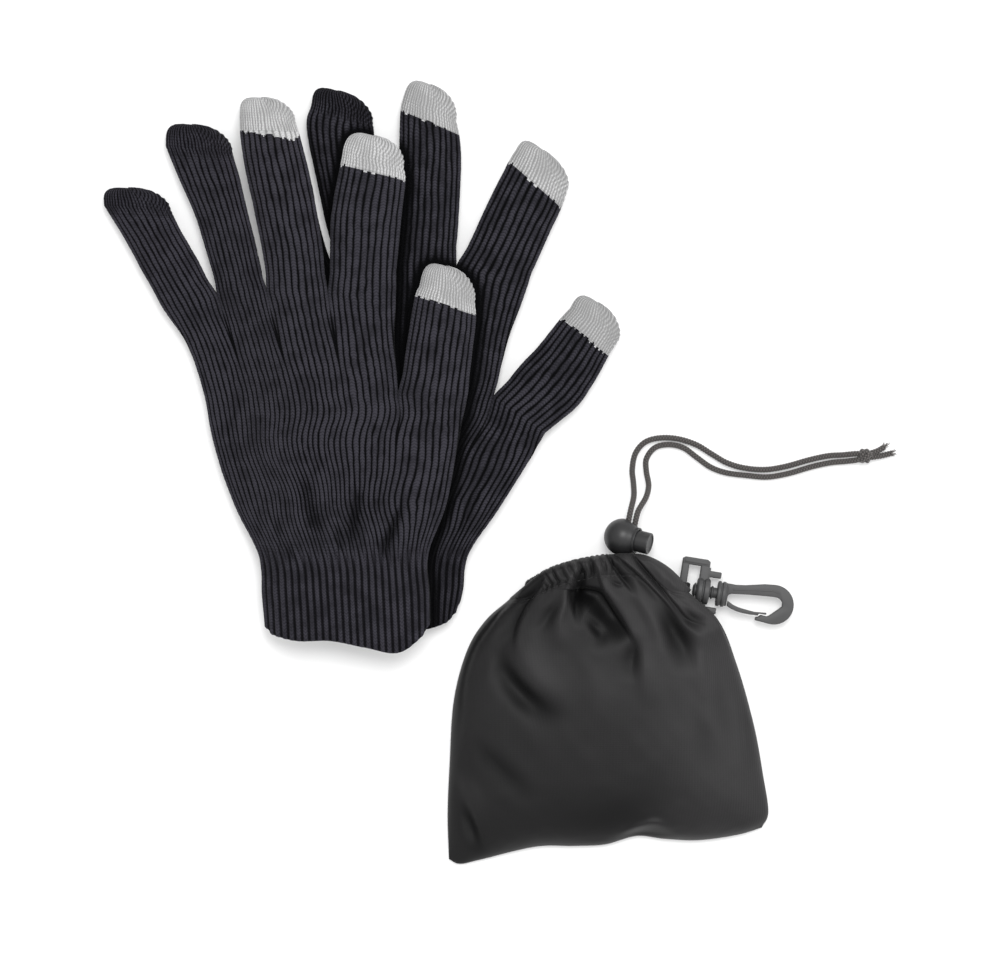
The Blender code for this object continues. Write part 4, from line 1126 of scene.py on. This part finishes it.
def frames_along(route):
    """Unit vectors across a route of points that turn with it and don't twist."""
    ahead = np.gradient(route, axis=0)
    ahead /= np.linalg.norm(ahead, axis=1, keepdims=True)
    side = np.cross(ahead[0], (0, 0, 1)) if abs(ahead[0][2]) < 0.9 else np.cross(ahead[0], (1, 0, 0))
    sides = []
    for step in ahead:
        side = side - step * side.dot(step)
        side = side / np.linalg.norm(side)
        sides.append(side)
    sides = np.array(sides)
    return sides, np.cross(sides, ahead)


def tube_grid(route, radii):
    """Points of a tube: one ring for each point of the route, with radii for each point and angle."""
    sides, ups = frames_along(route)
    turn = np.linspace(0, 2 * math.pi, radii.shape[1])
    ring = np.cos(turn)[None, :, None] * sides[:, None, :] + np.sin(turn)[None, :, None] * ups[:, None, :]
    return route[:, None, :] + ring * radii[..., None]


def make_stitches(front, look):
    """The hem's stitches, each a short thread that lies in the seam."""
    weave = Weave()
    line = front[HEM_ROWS + STITCH_ROW]
    gone = distance_along(line)
    at = STITCHES_FROM_EDGE
    while at < gone[-1] - STITCHES_FROM_EDGE:
        places = np.linspace(at, at + STITCH_LONG, 7)
        middle = np.stack([np.interp(places, gone, line[:, k]) for k in range(3)], axis=1)
        middle[:, 2] += 0.1 + 0.14 * np.sin(np.linspace(0, math.pi, 7))
        radii = 0.14 * np.sin(np.linspace(0.25, math.pi - 0.25, 7))[:, None] * np.ones((1, 7))
        weave.add(tube_grid(middle, radii), 0.9, 0.0, 0.0)
        at += STITCH_LONG + STITCH_GAP
    return weave.finish("hem_stitches", look)


LOOP_ROUTE = (
    (62.8, -32.8, 13.0), (55, -33.8, 15.2), (47, -35.4, 15.4), (39, -38.0, 14.2), (32.5, -41.8, 10.8),
    (30.0, -43.2, 8.0), (32.5, -41.8, 5.0), (39, -38.2, 3.4), (48, -35.6, 3.2), (60, -33.8, 3.2),
    (71, -34.2, 3.2), (78, -36.6, 4.2), (81.5, -38.6, 7.6), (79, -37.0, 12.0), (75, -34.8, 14.6),
    (70.6, -32.8, 13.0),
)
CHANNEL_BORE = 1.5


def make_channel(look):
    """The gathered tube of cloth around the drawcord, open at both ends."""
    route = even_route(LOOP_ROUTE, 0.5)[8:-8]
    turn = np.linspace(0, 2 * math.pi, 41)[None, :]
    along = np.arange(len(route))[:, None] * 0.5
    pleats = np.abs(np.sin(np.pi * (along / 2.2 + 0.5 * wander((len(route), 41), (26, 3), 2)))) ** 1.2
    radii = 2.05 + 0.55 * pleats * (0.7 + 0.3 * np.cos(turn * 2))
    outer, inner = tube_grid(route, radii), tube_grid(route, np.full(radii.shape, CHANNEL_BORE))
    weave = Weave()
    weave.add(outer, 0.5, 0.0, 0.0)
    weave.add(inner, 0.5, 0.0, 0.0, None, True)
    for end in (0, -1):
        rim = np.stack([outer[end], inner[end]])
        weave.add(rim, 0.5, 0.0, 0.0, None, end == 0)
    return weave.finish("pouch_mouth_hem", look)


# ---------------------------------------------------------------- drawcord

CORD_RADIUS = 1.15
PLAIT_LONG, PLAIT_DEEP = 2.2, 0.18  # one turn of a plaited strand along the cord, and the plait's relief
STRAND_LEFT = (
    (64.3, -33.0, 7.6), (65.5, -27.0, 7.6), (66.7, -21.0, 7.6), (68.0, -14.5, 7.3), (69.3, -9.0, 4.8),
    (69.2, -4.0, 2.4), (68.8, 1.0, 1.3), (70.0, 7.0, 1.3), (73.5, 11.2, 1.3), (79.0, 12.9, 1.3),
    (86.0, 12.6, 1.3), (93.0, 10.4, 1.3), (99.0, 6.8, 1.3), (104.5, 3.6, 1.3), (111.0, 1.6, 1.3),
    (119.0, 0.9, 1.3), (127.0, 2.1, 1.3), (136.0, 4.6, 1.3), (143.0, 6.1, 1.3), (149.0, 6.5, 1.8),
    (153.6, 6.9, 2.6), (156.2, 6.7, 3.2),
)
STRAND_RIGHT = (
    (66.9, -33.4, 7.6), (68.1, -27.4, 7.6), (69.3, -21.4, 7.6), (70.8, -15.0, 7.3), (73.9, -9.6, 4.8),
    (75.0, -5.0, 2.4), (74.2, 0.0, 1.3), (74.2, 5.0, 1.3), (77.4, 9.2, 1.3), (82.6, 10.4, 1.3),
    (88.2, 9.2, 1.3), (93.2, 5.6, 1.3), (98.6, 1.8, 1.3), (104.5, -0.3, 1.3), (112.0, -1.3, 1.3),
    (120.0, -1.9, 1.3), (128.0, -0.6, 1.3), (137.0, 2.0, 1.3), (144.0, 3.5, 1.3), (149.4, 4.0, 1.6),
    (153.6, 4.5, 2.2), (156.2, 5.3, 3.0),
)
KNOT_MIDDLE, KNOT_WRAPS = (157.2, 6.1, 3.2), 1.9
KNOT_TAILS = (
    ((157.6, 6.6, 3.3), (161.8, 8.0, 2.5), (164.6, 9.6, 1.7)),
    ((157.6, 5.4, 3.1), (163.0, 6.1, 1.9), (167.6, 7.2, 1.4)),
)


FRAY_YARNS = 26


def plait(route, radius, sides=25):
    """A braided cord along evenly spaced points: its grid of points and the height of the braid on it."""
    gone = distance_along(route)[:, None]
    turn = np.linspace(0, 2 * math.pi, sides)[None, :]
    wound = 2 * math.pi * gone / PLAIT_LONG * 2
    relief = 0.5 + 0.5 * np.cos((4 * turn + wound) / 2) * np.cos((4 * turn - wound) / 2)
    relief = np.abs(2 * relief - 1) ** 0.7
    radii = radius - PLAIT_DEEP * (1 - relief)
    radii[0] *= 0.55
    radii[-1] *= 0.55
    return tube_grid(route, radii), relief


def add_plait(weave, points, radius, step=0.2):
    route = even_route(points, step)
    grid, relief = plait(route, radius)
    # The braid's relief is also kept as painted shade in its grooves.
    weave.add(grid, relief, 0.0, 0.0)
    for end, ring in ((0, grid[0]), (-1, grid[-1])):
        centre = np.broadcast_to(route[end], ring.shape)
        weave.add(np.stack([ring, centre]), 0.6, 0.0, 0.0, None, end == 0)
    return route


def make_drawcord(looks):
    look = looks["cord"]
    loop = Weave()
    add_plait(loop, LOOP_ROUTE, CORD_RADIUS, 0.4)
    loop_piece = loop.finish("drawcord_loop_cord", look)
    strands = []
    for name, points in (("drawcord_strand_left", STRAND_LEFT), ("drawcord_strand_right", STRAND_RIGHT)):
        weave = Weave()
        route = add_plait(weave, points, CORD_RADIUS)
        strands.append((weave.finish(name + "_cord", look), name, route))
    knot_piece = make_knot(look)
    place_piece(loop_piece, "drawcord_loop", "pouch")
    place_piece(knot_piece, "drawcord_knot", "pouch")
    for piece, name, _ in strands:
        place_piece(piece, name, "pouch")
    for i, (piece, name, route) in enumerate(strands):
        path = [tuple(point * MM) for point in route[::5]] + [tuple(route[-1] * MM)]
        [knot_piece] if i == 0 else ()


def make_knot(look):
    """Both cords tied in one tight overhand knot: wraps about the cords, a cross turn and frayed tails."""
    weave = Weave()
    middle = np.array(KNOT_MIDDLE)
    wraps, cross = [], []
    wound = 2 * math.pi * KNOT_WRAPS
    for a in np.linspace(0, wound, 44):
        along = a / wound - 0.5
        wraps.append(middle + (3.4 * along + 0.35 * math.cos(a), 1.75 * math.cos(a), 1.55 * math.sin(a)))
    for a in np.linspace(-0.5, math.pi + 0.5, 24):
        cross.append(middle + (2.0 * math.cos(a), 1.1 * math.cos(a) - 0.5, 1.75 * math.sin(a) + 0.15))
    add_plait(weave, wraps, 1.1)
    add_plait(weave, cross, 1.0)
    for tail in KNOT_TAILS:
        add_plait(weave, tail, CORD_RADIUS)
        add_fray(weave, tail)
    return weave.finish("drawcord_knot_cord", look)


def add_fray(weave, tail):
    """Loose ends of yarn at a cut end."""
    end = np.array(tail[-1])
    ahead = end - np.array(tail[-2])
    ahead /= np.linalg.norm(ahead)
    chance = np.random.RandomState(int(abs(end[0] * 10)))
    for _ in range(FRAY_YARNS):
        spread = chance.uniform(-1, 1, 3) * (0.75, 0.75, 0.5)
        start = end + spread * 0.9 - ahead * 0.3
        tip = start + ahead * chance.uniform(0.7, 1.6) + spread * chance.uniform(0.2, 1.2)
        tip[2] = max(tip[2], 0.25)
        middle = (start + tip) / 2 + chance.uniform(-0.2, 0.2, 3)
        route = even_route([start, middle, tip], 0.25)
        radii = np.linspace(0.13, 0.06, len(route))[:, None] * np.ones((1, 6))
        weave.add(tube_grid(route, radii), 0.9, 0.0, 0.0)


# ---------------------------------------------------------------- cord lock

LOCK_CENTRE, LOCK_RADIUS = (64.9, -24.6, 7.6), 7.0
LOCK_YAW, LOCK_PITCH = math.radians(-14), math.radians(20)
NECK_RADIUS, LOCK_MOUTH, LOCK_FLOOR = 4.9, 6.2, -5.1
PLUNGER_RADIUS, PLUNGER_OUT, PLUNGER_IN, PLUNGER_TRAVEL, PLUNGER_GAP = 4.1, 11.2, -1.8, 2.0, 0.15
CORD_WINDOW, WINDOW_REACH, WINDOW_SIDES = 2.95, 16, 48
SPRING_RADIUS, SPRING_WIRE, SPRING_TURNS, SPRING_STEPS = 2.6, 0.3, 2, 180


def mesh_object(name, made, look):
    mesh = bpy.data.meshes.new(name)
    made.to_mesh(mesh)
    made.free()
    mesh.materials.append(look)
    piece = bpy.data.objects.new(name, mesh)
    bpy.context.scene.collection.objects.link(piece)
    return piece


def shade_by_angle(piece, degrees):
    mesh = piece.data
    mesh.shade_smooth()
    mesh.set_sharp_from_angle(angle=math.radians(degrees))


def add_turned(made, profile, matrix, sides=72):
    """Adds a solid of revolution about its own Z through (radius, height) points, scaled to metres."""
    rings = []
    for radius, height in profile:
        angles = [0.0] if radius == 0 else np.arange(sides) * 2 * math.pi / sides
        ring = [matrix @ Vector((radius * math.cos(a), radius * math.sin(a), height)) * MM for a in angles]
        rings.append([made.verts.new(point) for point in ring])
    for low, high in zip(rings, rings[1:]):
        for k in range(sides):
            after = (k + 1) % sides
            corners = (low[k % len(low)], low[after % len(low)], high[after % len(high)], high[k % len(high)])
            made.faces.new(dict.fromkeys(corners))


def rounded_profile(points, radius, steps=5):
    """A profile whose inner corners are rounded off."""
    out = [points[0]]
    for before, corner, after in zip(points, points[1:], points[2:]):
        one, other = Vector(before) - Vector(corner), Vector(after) - Vector(corner)
        reach = min(radius, one.length * 0.45, other.length * 0.45)
        start, end = Vector(corner) + one.normalized() * reach, Vector(corner) + other.normalized() * reach
        for i in range(steps + 1):
            t = i / steps
            out.append(tuple(start * (1 - t) ** 2 + Vector(corner) * 2 * t * (1 - t) + end * t**2))
    return out + [points[-1]]


def cord_window(stretch, look):
    """A cutter along the strands' straight stretch, stretched towards the lock's button if asked."""
    low, high = np.array(STRAND_LEFT[0]), np.array(STRAND_LEFT[2])
    other = np.array(STRAND_RIGHT[0])
    along = Vector(high - low).normalized()
    middle = Vector((low + high) / 2 + (other - low) / 2)
    axis = lock_matrix().to_3x3() @ Vector((0, 0, 1))
    axis = (axis - along * axis.dot(along)).normalized()
    up = along.cross(axis)
    made = bmesh.new()
    ends = []
    for end in (-WINDOW_REACH, WINDOW_REACH):
        ring = []
        for a in (np.arange(WINDOW_SIDES) + 0.5) * 2 * math.pi / WINDOW_SIDES:
            far = CORD_WINDOW * math.cos(a) + (stretch if math.cos(a) > 0 else 0.0)
            point = middle + along * end + axis * far + up * CORD_WINDOW * math.sin(a)
            ring.append(made.verts.new(point * MM))
        ends.append(ring)
    low_ring, high_ring = ends
    made.faces.new(low_ring)
    made.faces.new(high_ring[::-1])
    for k in range(WINDOW_SIDES):
        after = (k + 1) % WINDOW_SIDES
        made.faces.new((low_ring[after], low_ring[k], high_ring[k], high_ring[after]))
    bmesh.ops.recalc_face_normals(made, faces=made.faces)
    return mesh_object("window_cutter", made, look)


def cut_out(piece, cutter):
    """Cuts a hole in a piece, and removes the cutter."""
    step = piece.modifiers.new("hole", "BOOLEAN")
    step.object = cutter
    step.operation = "DIFFERENCE"
    bpy.context.view_layer.update()
    ready = piece.evaluated_get(bpy.context.evaluated_depsgraph_get())
    mesh = bpy.data.meshes.new_from_object(ready)
    piece.modifiers.clear()
    piece.data = mesh
    bpy.data.objects.remove(cutter)


def lock_matrix():
    yaw, pitch = Matrix.Rotation(LOCK_YAW, 4, "Z"), Matrix.Rotation(math.pi / 2 - LOCK_PITCH, 4, "Y")
    return Matrix.Translation(LOCK_CENTRE) @ yaw @ pitch


def make_spring(look):
    """The coil under the button."""
    at = lock_matrix()
    low, high = LOCK_FLOOR + SPRING_WIRE + 0.35, PLUNGER_IN - SPRING_WIRE - 0.35
    route = []
    for share in np.linspace(0, 1, SPRING_STEPS + 1):
        a = 2 * math.pi * SPRING_TURNS * share
        local = (SPRING_RADIUS * math.cos(a), SPRING_RADIUS * math.sin(a), low + (high - low) * share)
        route.append(tuple(at @ Vector(local)))
    coil = Weave()
    coil.add(tube_grid(np.array(route), np.full((len(route), 17), SPRING_WIRE)), 0.7, 0.0, 0.0)
    spring = coil.finish("cord_lock_coil", look)
    place_piece(spring, "cord_lock_spring", "cord_lock")
    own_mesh(spring)


def barrel_profile():
    """The ball with its neck, and the bore that the button slides in."""
    bore = PLUNGER_RADIUS + PLUNGER_GAP
    last = math.acos(NECK_RADIUS / LOCK_RADIUS)
    angles = np.linspace(-math.pi / 2, last, 34)
    ball = [(LOCK_RADIUS * math.cos(a), LOCK_RADIUS * math.sin(a)) for a in angles[1:]]
    mouth = [ball[-1], (NECK_RADIUS + 0.12, LOCK_MOUTH), (bore, LOCK_MOUTH), (bore, 4.0)]
    rim = rounded_profile(mouth, 0.35)
    return [(0, -LOCK_RADIUS), *ball, *rim[1:], (bore, LOCK_FLOOR), (0, LOCK_FLOOR)]


def button_profile():
    r = PLUNGER_RADIUS
    corners = [(0, PLUNGER_IN), (r, PLUNGER_IN), (r, PLUNGER_OUT - 0.05), (r - 0.75, PLUNGER_OUT),
               (r - 1.0, PLUNGER_OUT - 0.35), (0, PLUNGER_OUT - 0.45)]
    return rounded_profile(corners, 0.45)


def make_lock(look):
    """The barrel and its button, both with a window through them for the two cords."""
    for name, node, body, profile, stretch in (
        ("cord_lock_shell", "cord_lock_barrel", "cord_lock", barrel_profile(), 0.0),
        ("cord_lock_button", "cord_lock_plunger", "lock_button", button_profile(), PLUNGER_TRAVEL),
    ):
        made = bmesh.new()
        add_turned(made, profile, lock_matrix())
        bmesh.ops.recalc_face_normals(made, faces=made.faces)
        piece = mesh_object(name, made, look)
        cut_out(piece, cord_window(stretch, look))
        shade_by_angle(piece, 38)
        place_piece(piece, node, body)


# ---------------------------------------------------------------- clip

CLIP_ORIGIN, CLIP_YAW = (98.0, -45.5, 5.2), math.radians(-9)
FRAME_HALF, FRAME_BAR, FRAME_LEFT, FRAME_RIGHT, FRAME_DEEP = 12.0, 2.8, -12.0, -1.4, 3.0
COLLAR_RADIUS, COLLAR_BORE, COLLAR_FROM, COLLAR_TO = 5.0, 2.15, -5.2, -0.2
HOOK_DEEP = 3.6
HOOK_INNER = ((18.4, -7.8), (18.5, -6.6), (19.9, -6.2), (20.1, -5.5), (22.8, -5.7), (23.6, -5.2),
              (26.9, -2.1), (27.8, -1.1), (27.7, 0.4), (26.9, 1.4), (25.6, 1.9), (24.0, 2.0), (15.0, 1.4),
              (8.2, 0.7), (7.2, 0.2), (6.9, -0.6), (6.8, -4.2), (5.6, -4.3))
HOOK_BACK = ((5.6, 4.4), (9.4, 4.3), (13.0, 4.7), (16.4, 5.4), (20.0, 6.2))
NOSE_CENTRE, NOSE_RADIUS = (24.7, -0.9), 7.5
HOOK_RIB = ((8.6, 2.0), (16.0, 3.0), (23.5, 3.9), (26.5, 3.4), (26.3, 3.8), (23.4, 4.5), (16.0, 3.7),
            (8.6, 2.9))
HOOK_BASE = ((0, 2.7), (4.5, 2.7), (4.8, 3.0), (4.8, 3.9), (4.3, 4.1), (4.3, 4.5), (4.8, 4.7), (4.8, 5.6),
             (3.8, 6.6), (0, 6.9))
HOOK_POST = ((0, -6.6), (1.7, -6.6), (2.7, -5.9), (2.7, -5.5), (2.0, -5.4), (2.0, 0.3), (2.5, 0.6),
             (2.5, 1.0), (2.0, 1.3), (2.0, 3.0), (0, 3.1))
GATE = ((7.2, -2.2), (9.6, -3.4), (11.6, -3.95), (13.8, -4.3), (18.0, -4.75), (22.4, -4.4), (22.4, -5.1),
        (19.6, -5.15), (19.3, -5.9), (18.2, -5.9), (16.1, -6.0), (13.5, -5.9), (11.0, -5.6), (9.0, -5.0),
        (7.2, -4.2))


def clip_matrix():
    return Matrix.Translation(CLIP_ORIGIN) @ Matrix.Rotation(CLIP_YAW, 4, "Z")


def add_plate(made, outline, low, high, soft):
    """Adds a flat plate with rounded edges to a clip mesh, in the clip's own frame."""
    plate = bmesh.new()
    bottom = [plate.verts.new((u, v, low)) for u, v in outline]
    top = [plate.verts.new((u, v, high)) for u, v in outline]
    plate.faces.new(bottom[::-1])
    plate.faces.new(top)
    for i in range(len(outline)):
        k = (i + 1) % len(outline)
        plate.faces.new((bottom[i], bottom[k], top[k], top[i]))
    bmesh.ops.recalc_face_normals(plate, faces=plate.faces)
    edges = [e for e in plate.edges if e.verts[0].co.z == e.verts[1].co.z or e.calc_face_angle() > 0.9]
    bmesh.ops.bevel(plate, geom=edges, offset=soft, segments=3, profile=0.5, affect="EDGES",
                    clamp_overlap=True)
    bmesh.ops.transform(plate, matrix=Matrix.Scale(MM, 4) @ clip_matrix(), verts=plate.verts)
    part = bpy.data.meshes.new("plate")
    plate.to_mesh(part)
    plate.free()
    made.from_mesh(part)
    bpy.data.meshes.remove(part)


def block(left, right, low, high):
    return ((left, low), (right, low), (right, high), (left, high))


def lengthways():
    """Turned parts of the clip have their own Z along the clip."""
    return clip_matrix() @ Matrix.Rotation(math.pi / 2, 4, "Y")


def clip_frame():
    """The strap frame: two bars across, two along, webs to the collar, and the collar."""
    left, right, half, bar, deep = FRAME_LEFT, FRAME_RIGHT, FRAME_HALF, FRAME_BAR, FRAME_DEEP / 2
    made = bmesh.new()
    add_plate(made, block(left, left + bar, -half + 0.4, half - 0.4), -deep, deep, 0.5)
    add_plate(made, block(COLLAR_FROM + 0.4, right, -half + 0.4, half - 0.4), -deep, deep, 0.5)
    slope = ((left, half - bar), (right, half - bar), (right, half - 0.9), (right - 1.0, half),
             (left + 1.0, half), (left, half - 0.9))
    add_plate(made, slope, -deep - 0.05, deep + 0.05, 0.45)
    add_plate(made, [(u, -v) for u, v in slope][::-1], -deep - 0.05, deep + 0.05, 0.45)
    add_plate(made, block(left + 0.9, right - 0.9, half - 2.0, half - 0.8), deep - 0.4, deep + 0.25, 0.2)
    for side in (1, -1):
        low, high = sorted((side * 5.6, side * 8.0))
        add_plate(made, block(right - 2.0, 3.4, low, high), -deep + 0.2, deep - 0.2, 0.4)
        low, high = sorted((side * 4.2, side * 9.2))
        add_plate(made, block(right - 1.9, right + 0.5, low, high), -deep + 0.1, deep - 0.1, 0.4)
    r, middle = COLLAR_RADIUS, (COLLAR_FROM + COLLAR_TO) / 2
    bore = COLLAR_BORE
    collar = [(bore, COLLAR_FROM), (r - 0.7, COLLAR_FROM), (r, COLLAR_FROM + 0.7), (r, middle - 0.5),
              (r - 0.6, middle - 0.2), (r - 0.6, middle + 0.2), (r, middle + 0.5), (r, COLLAR_TO - 0.5),
              (r - 0.5, COLLAR_TO), (bore, COLLAR_TO), (bore, COLLAR_FROM)]
    add_turned(made, rounded_profile(collar, 0.3), lengthways())
    return made


def clip_hook():
    """The hook's bent plate with a rib on each face, its round base and the swivel post."""
    made = bmesh.new()
    nose = []
    for a in np.radians(np.linspace(96, -95, 36)):
        nose.append((NOSE_CENTRE[0] + NOSE_RADIUS * math.cos(a), NOSE_CENTRE[1] + NOSE_RADIUS * math.sin(a)))
    deep = HOOK_DEEP / 2
    add_plate(made, [*HOOK_BACK, *nose, *HOOK_INNER], -deep, deep, 0.55)
    add_plate(made, HOOK_RIB, deep - 0.4, deep + 0.18, 0.12)
    add_plate(made, HOOK_RIB, -deep - 0.18, -deep + 0.4, 0.12)
    add_turned(made, rounded_profile(HOOK_BASE, 0.2, 3), lengthways())
    add_turned(made, rounded_profile(HOOK_POST, 0.15, 3), lengthways(), 48)
    return made


def clip_gate():
    made = bmesh.new()
    add_plate(made, GATE, -HOOK_DEEP / 2 + 0.2, HOOK_DEEP / 2 - 0.2, 0.22)
    return made


def make_clip(look):
    for name, made in (("clip_frame", clip_frame()), ("clip_hook", clip_hook()), ("clip_gate", clip_gate())):
        piece = mesh_object(name + "_body", made, look)
        shade_by_angle(piece, 35)
        place_piece(piece, name, name)


# ---------------------------------------------------------------- clip tab

TAB_LOW, TAB_HIGH, TAB_THICK = -8.7, 2.3, 0.7
TAB_LOOP = ((-8.2, 1.8), (-8.9, 2.4), (-10.5, 2.5), (-12.6, 2.4), (-15.2, 1.2), (-16.2, 0.0), (-15.2, -1.2),
            (-12.6, -2.4), (-10.5, -2.5), (-8.9, -2.4), (-8.2, -1.8), (-8.1, 0.0), (-8.2, 1.8))


def make_tab(look):
    """The webbing tab that holds the clip's frame: a flat loop of ribbed tape."""
    route = even_route([(u, 0.0, z) for u, z in TAB_LOOP], 0.25)
    place = np.array(clip_matrix())
    weave = Weave()
    across = np.linspace(TAB_LOW, TAB_HIGH, 81)[None, :]
    ahead = np.gradient(route, axis=0)
    ahead /= np.linalg.norm(ahead, axis=1, keepdims=True)
    out = np.cross(ahead, (0, 1, 0))
    gone = np.arange(len(route))[:, None] * 0.25
    twill = 0.07 * np.sin(2 * np.pi * (across / 1.1 + gone / 1.3)) + 0.03 * np.sin(2 * np.pi * gone / 0.6)
    edge = smooth(np.minimum(across - TAB_LOW, TAB_HIGH - across) / 0.4)
    for thick in (-TAB_THICK / 2, TAB_THICK / 2):
        push = thick * edge + np.sign(thick) * twill * edge
        grid = route[:, None, :] + out[:, None, :] * push[..., None]
        grid = grid + np.array([0, 1, 0]) * across[..., None]
        world = grid @ place[:3, :3].T + place[:3, 3]
        weave.add(world, 0.5, across / 0.55, gone, None, thick > 0)
    place_piece(weave.finish("clip_tab_webbing", look), "clip_tab", "pouch")


def main():
    make_camera()
    make_studio()
    looks = {
        "black": knit_look("black_knit", (0.0008, 0.0008, 0.0012), (0.037, 0.0355, 0.045),
                           (0.084, 0.082, 0.098), 0.03),
        "grey": knit_look("grey_touch_yarn", (0.25, 0.25, 0.25), (0.54, 0.54, 0.545),
                          (0.75, 0.75, 0.75), 0.05),
        "satin": satin_look(),
        "cord": cord_look(),
        "black_plastic": plastic_look("cord_lock_plastic", (0.012, 0.012, 0.0125), (0.02, 0.02, 0.021), 0.32),
        "grey_plastic": plastic_look("clip_plastic", (0.035, 0.035, 0.036), (0.059, 0.059, 0.06), 0.42),
        "steel": steel_look(),
        "floor": floor_look(),
    }
    make_floor(looks["floor"])
    make_drawcord(looks)
    make_glove(RIGHT_GLOVE, flat_on_table, looks, painted_shadow_beside(LEFT_GLOVE, over_right_glove))
    make_glove(LEFT_GLOVE, over_right_glove, looks)
    make_pouch(looks)
    make_lock(looks["black_plastic"])
    make_spring(looks["steel"])
    make_clip(looks["grey_plastic"])


main()
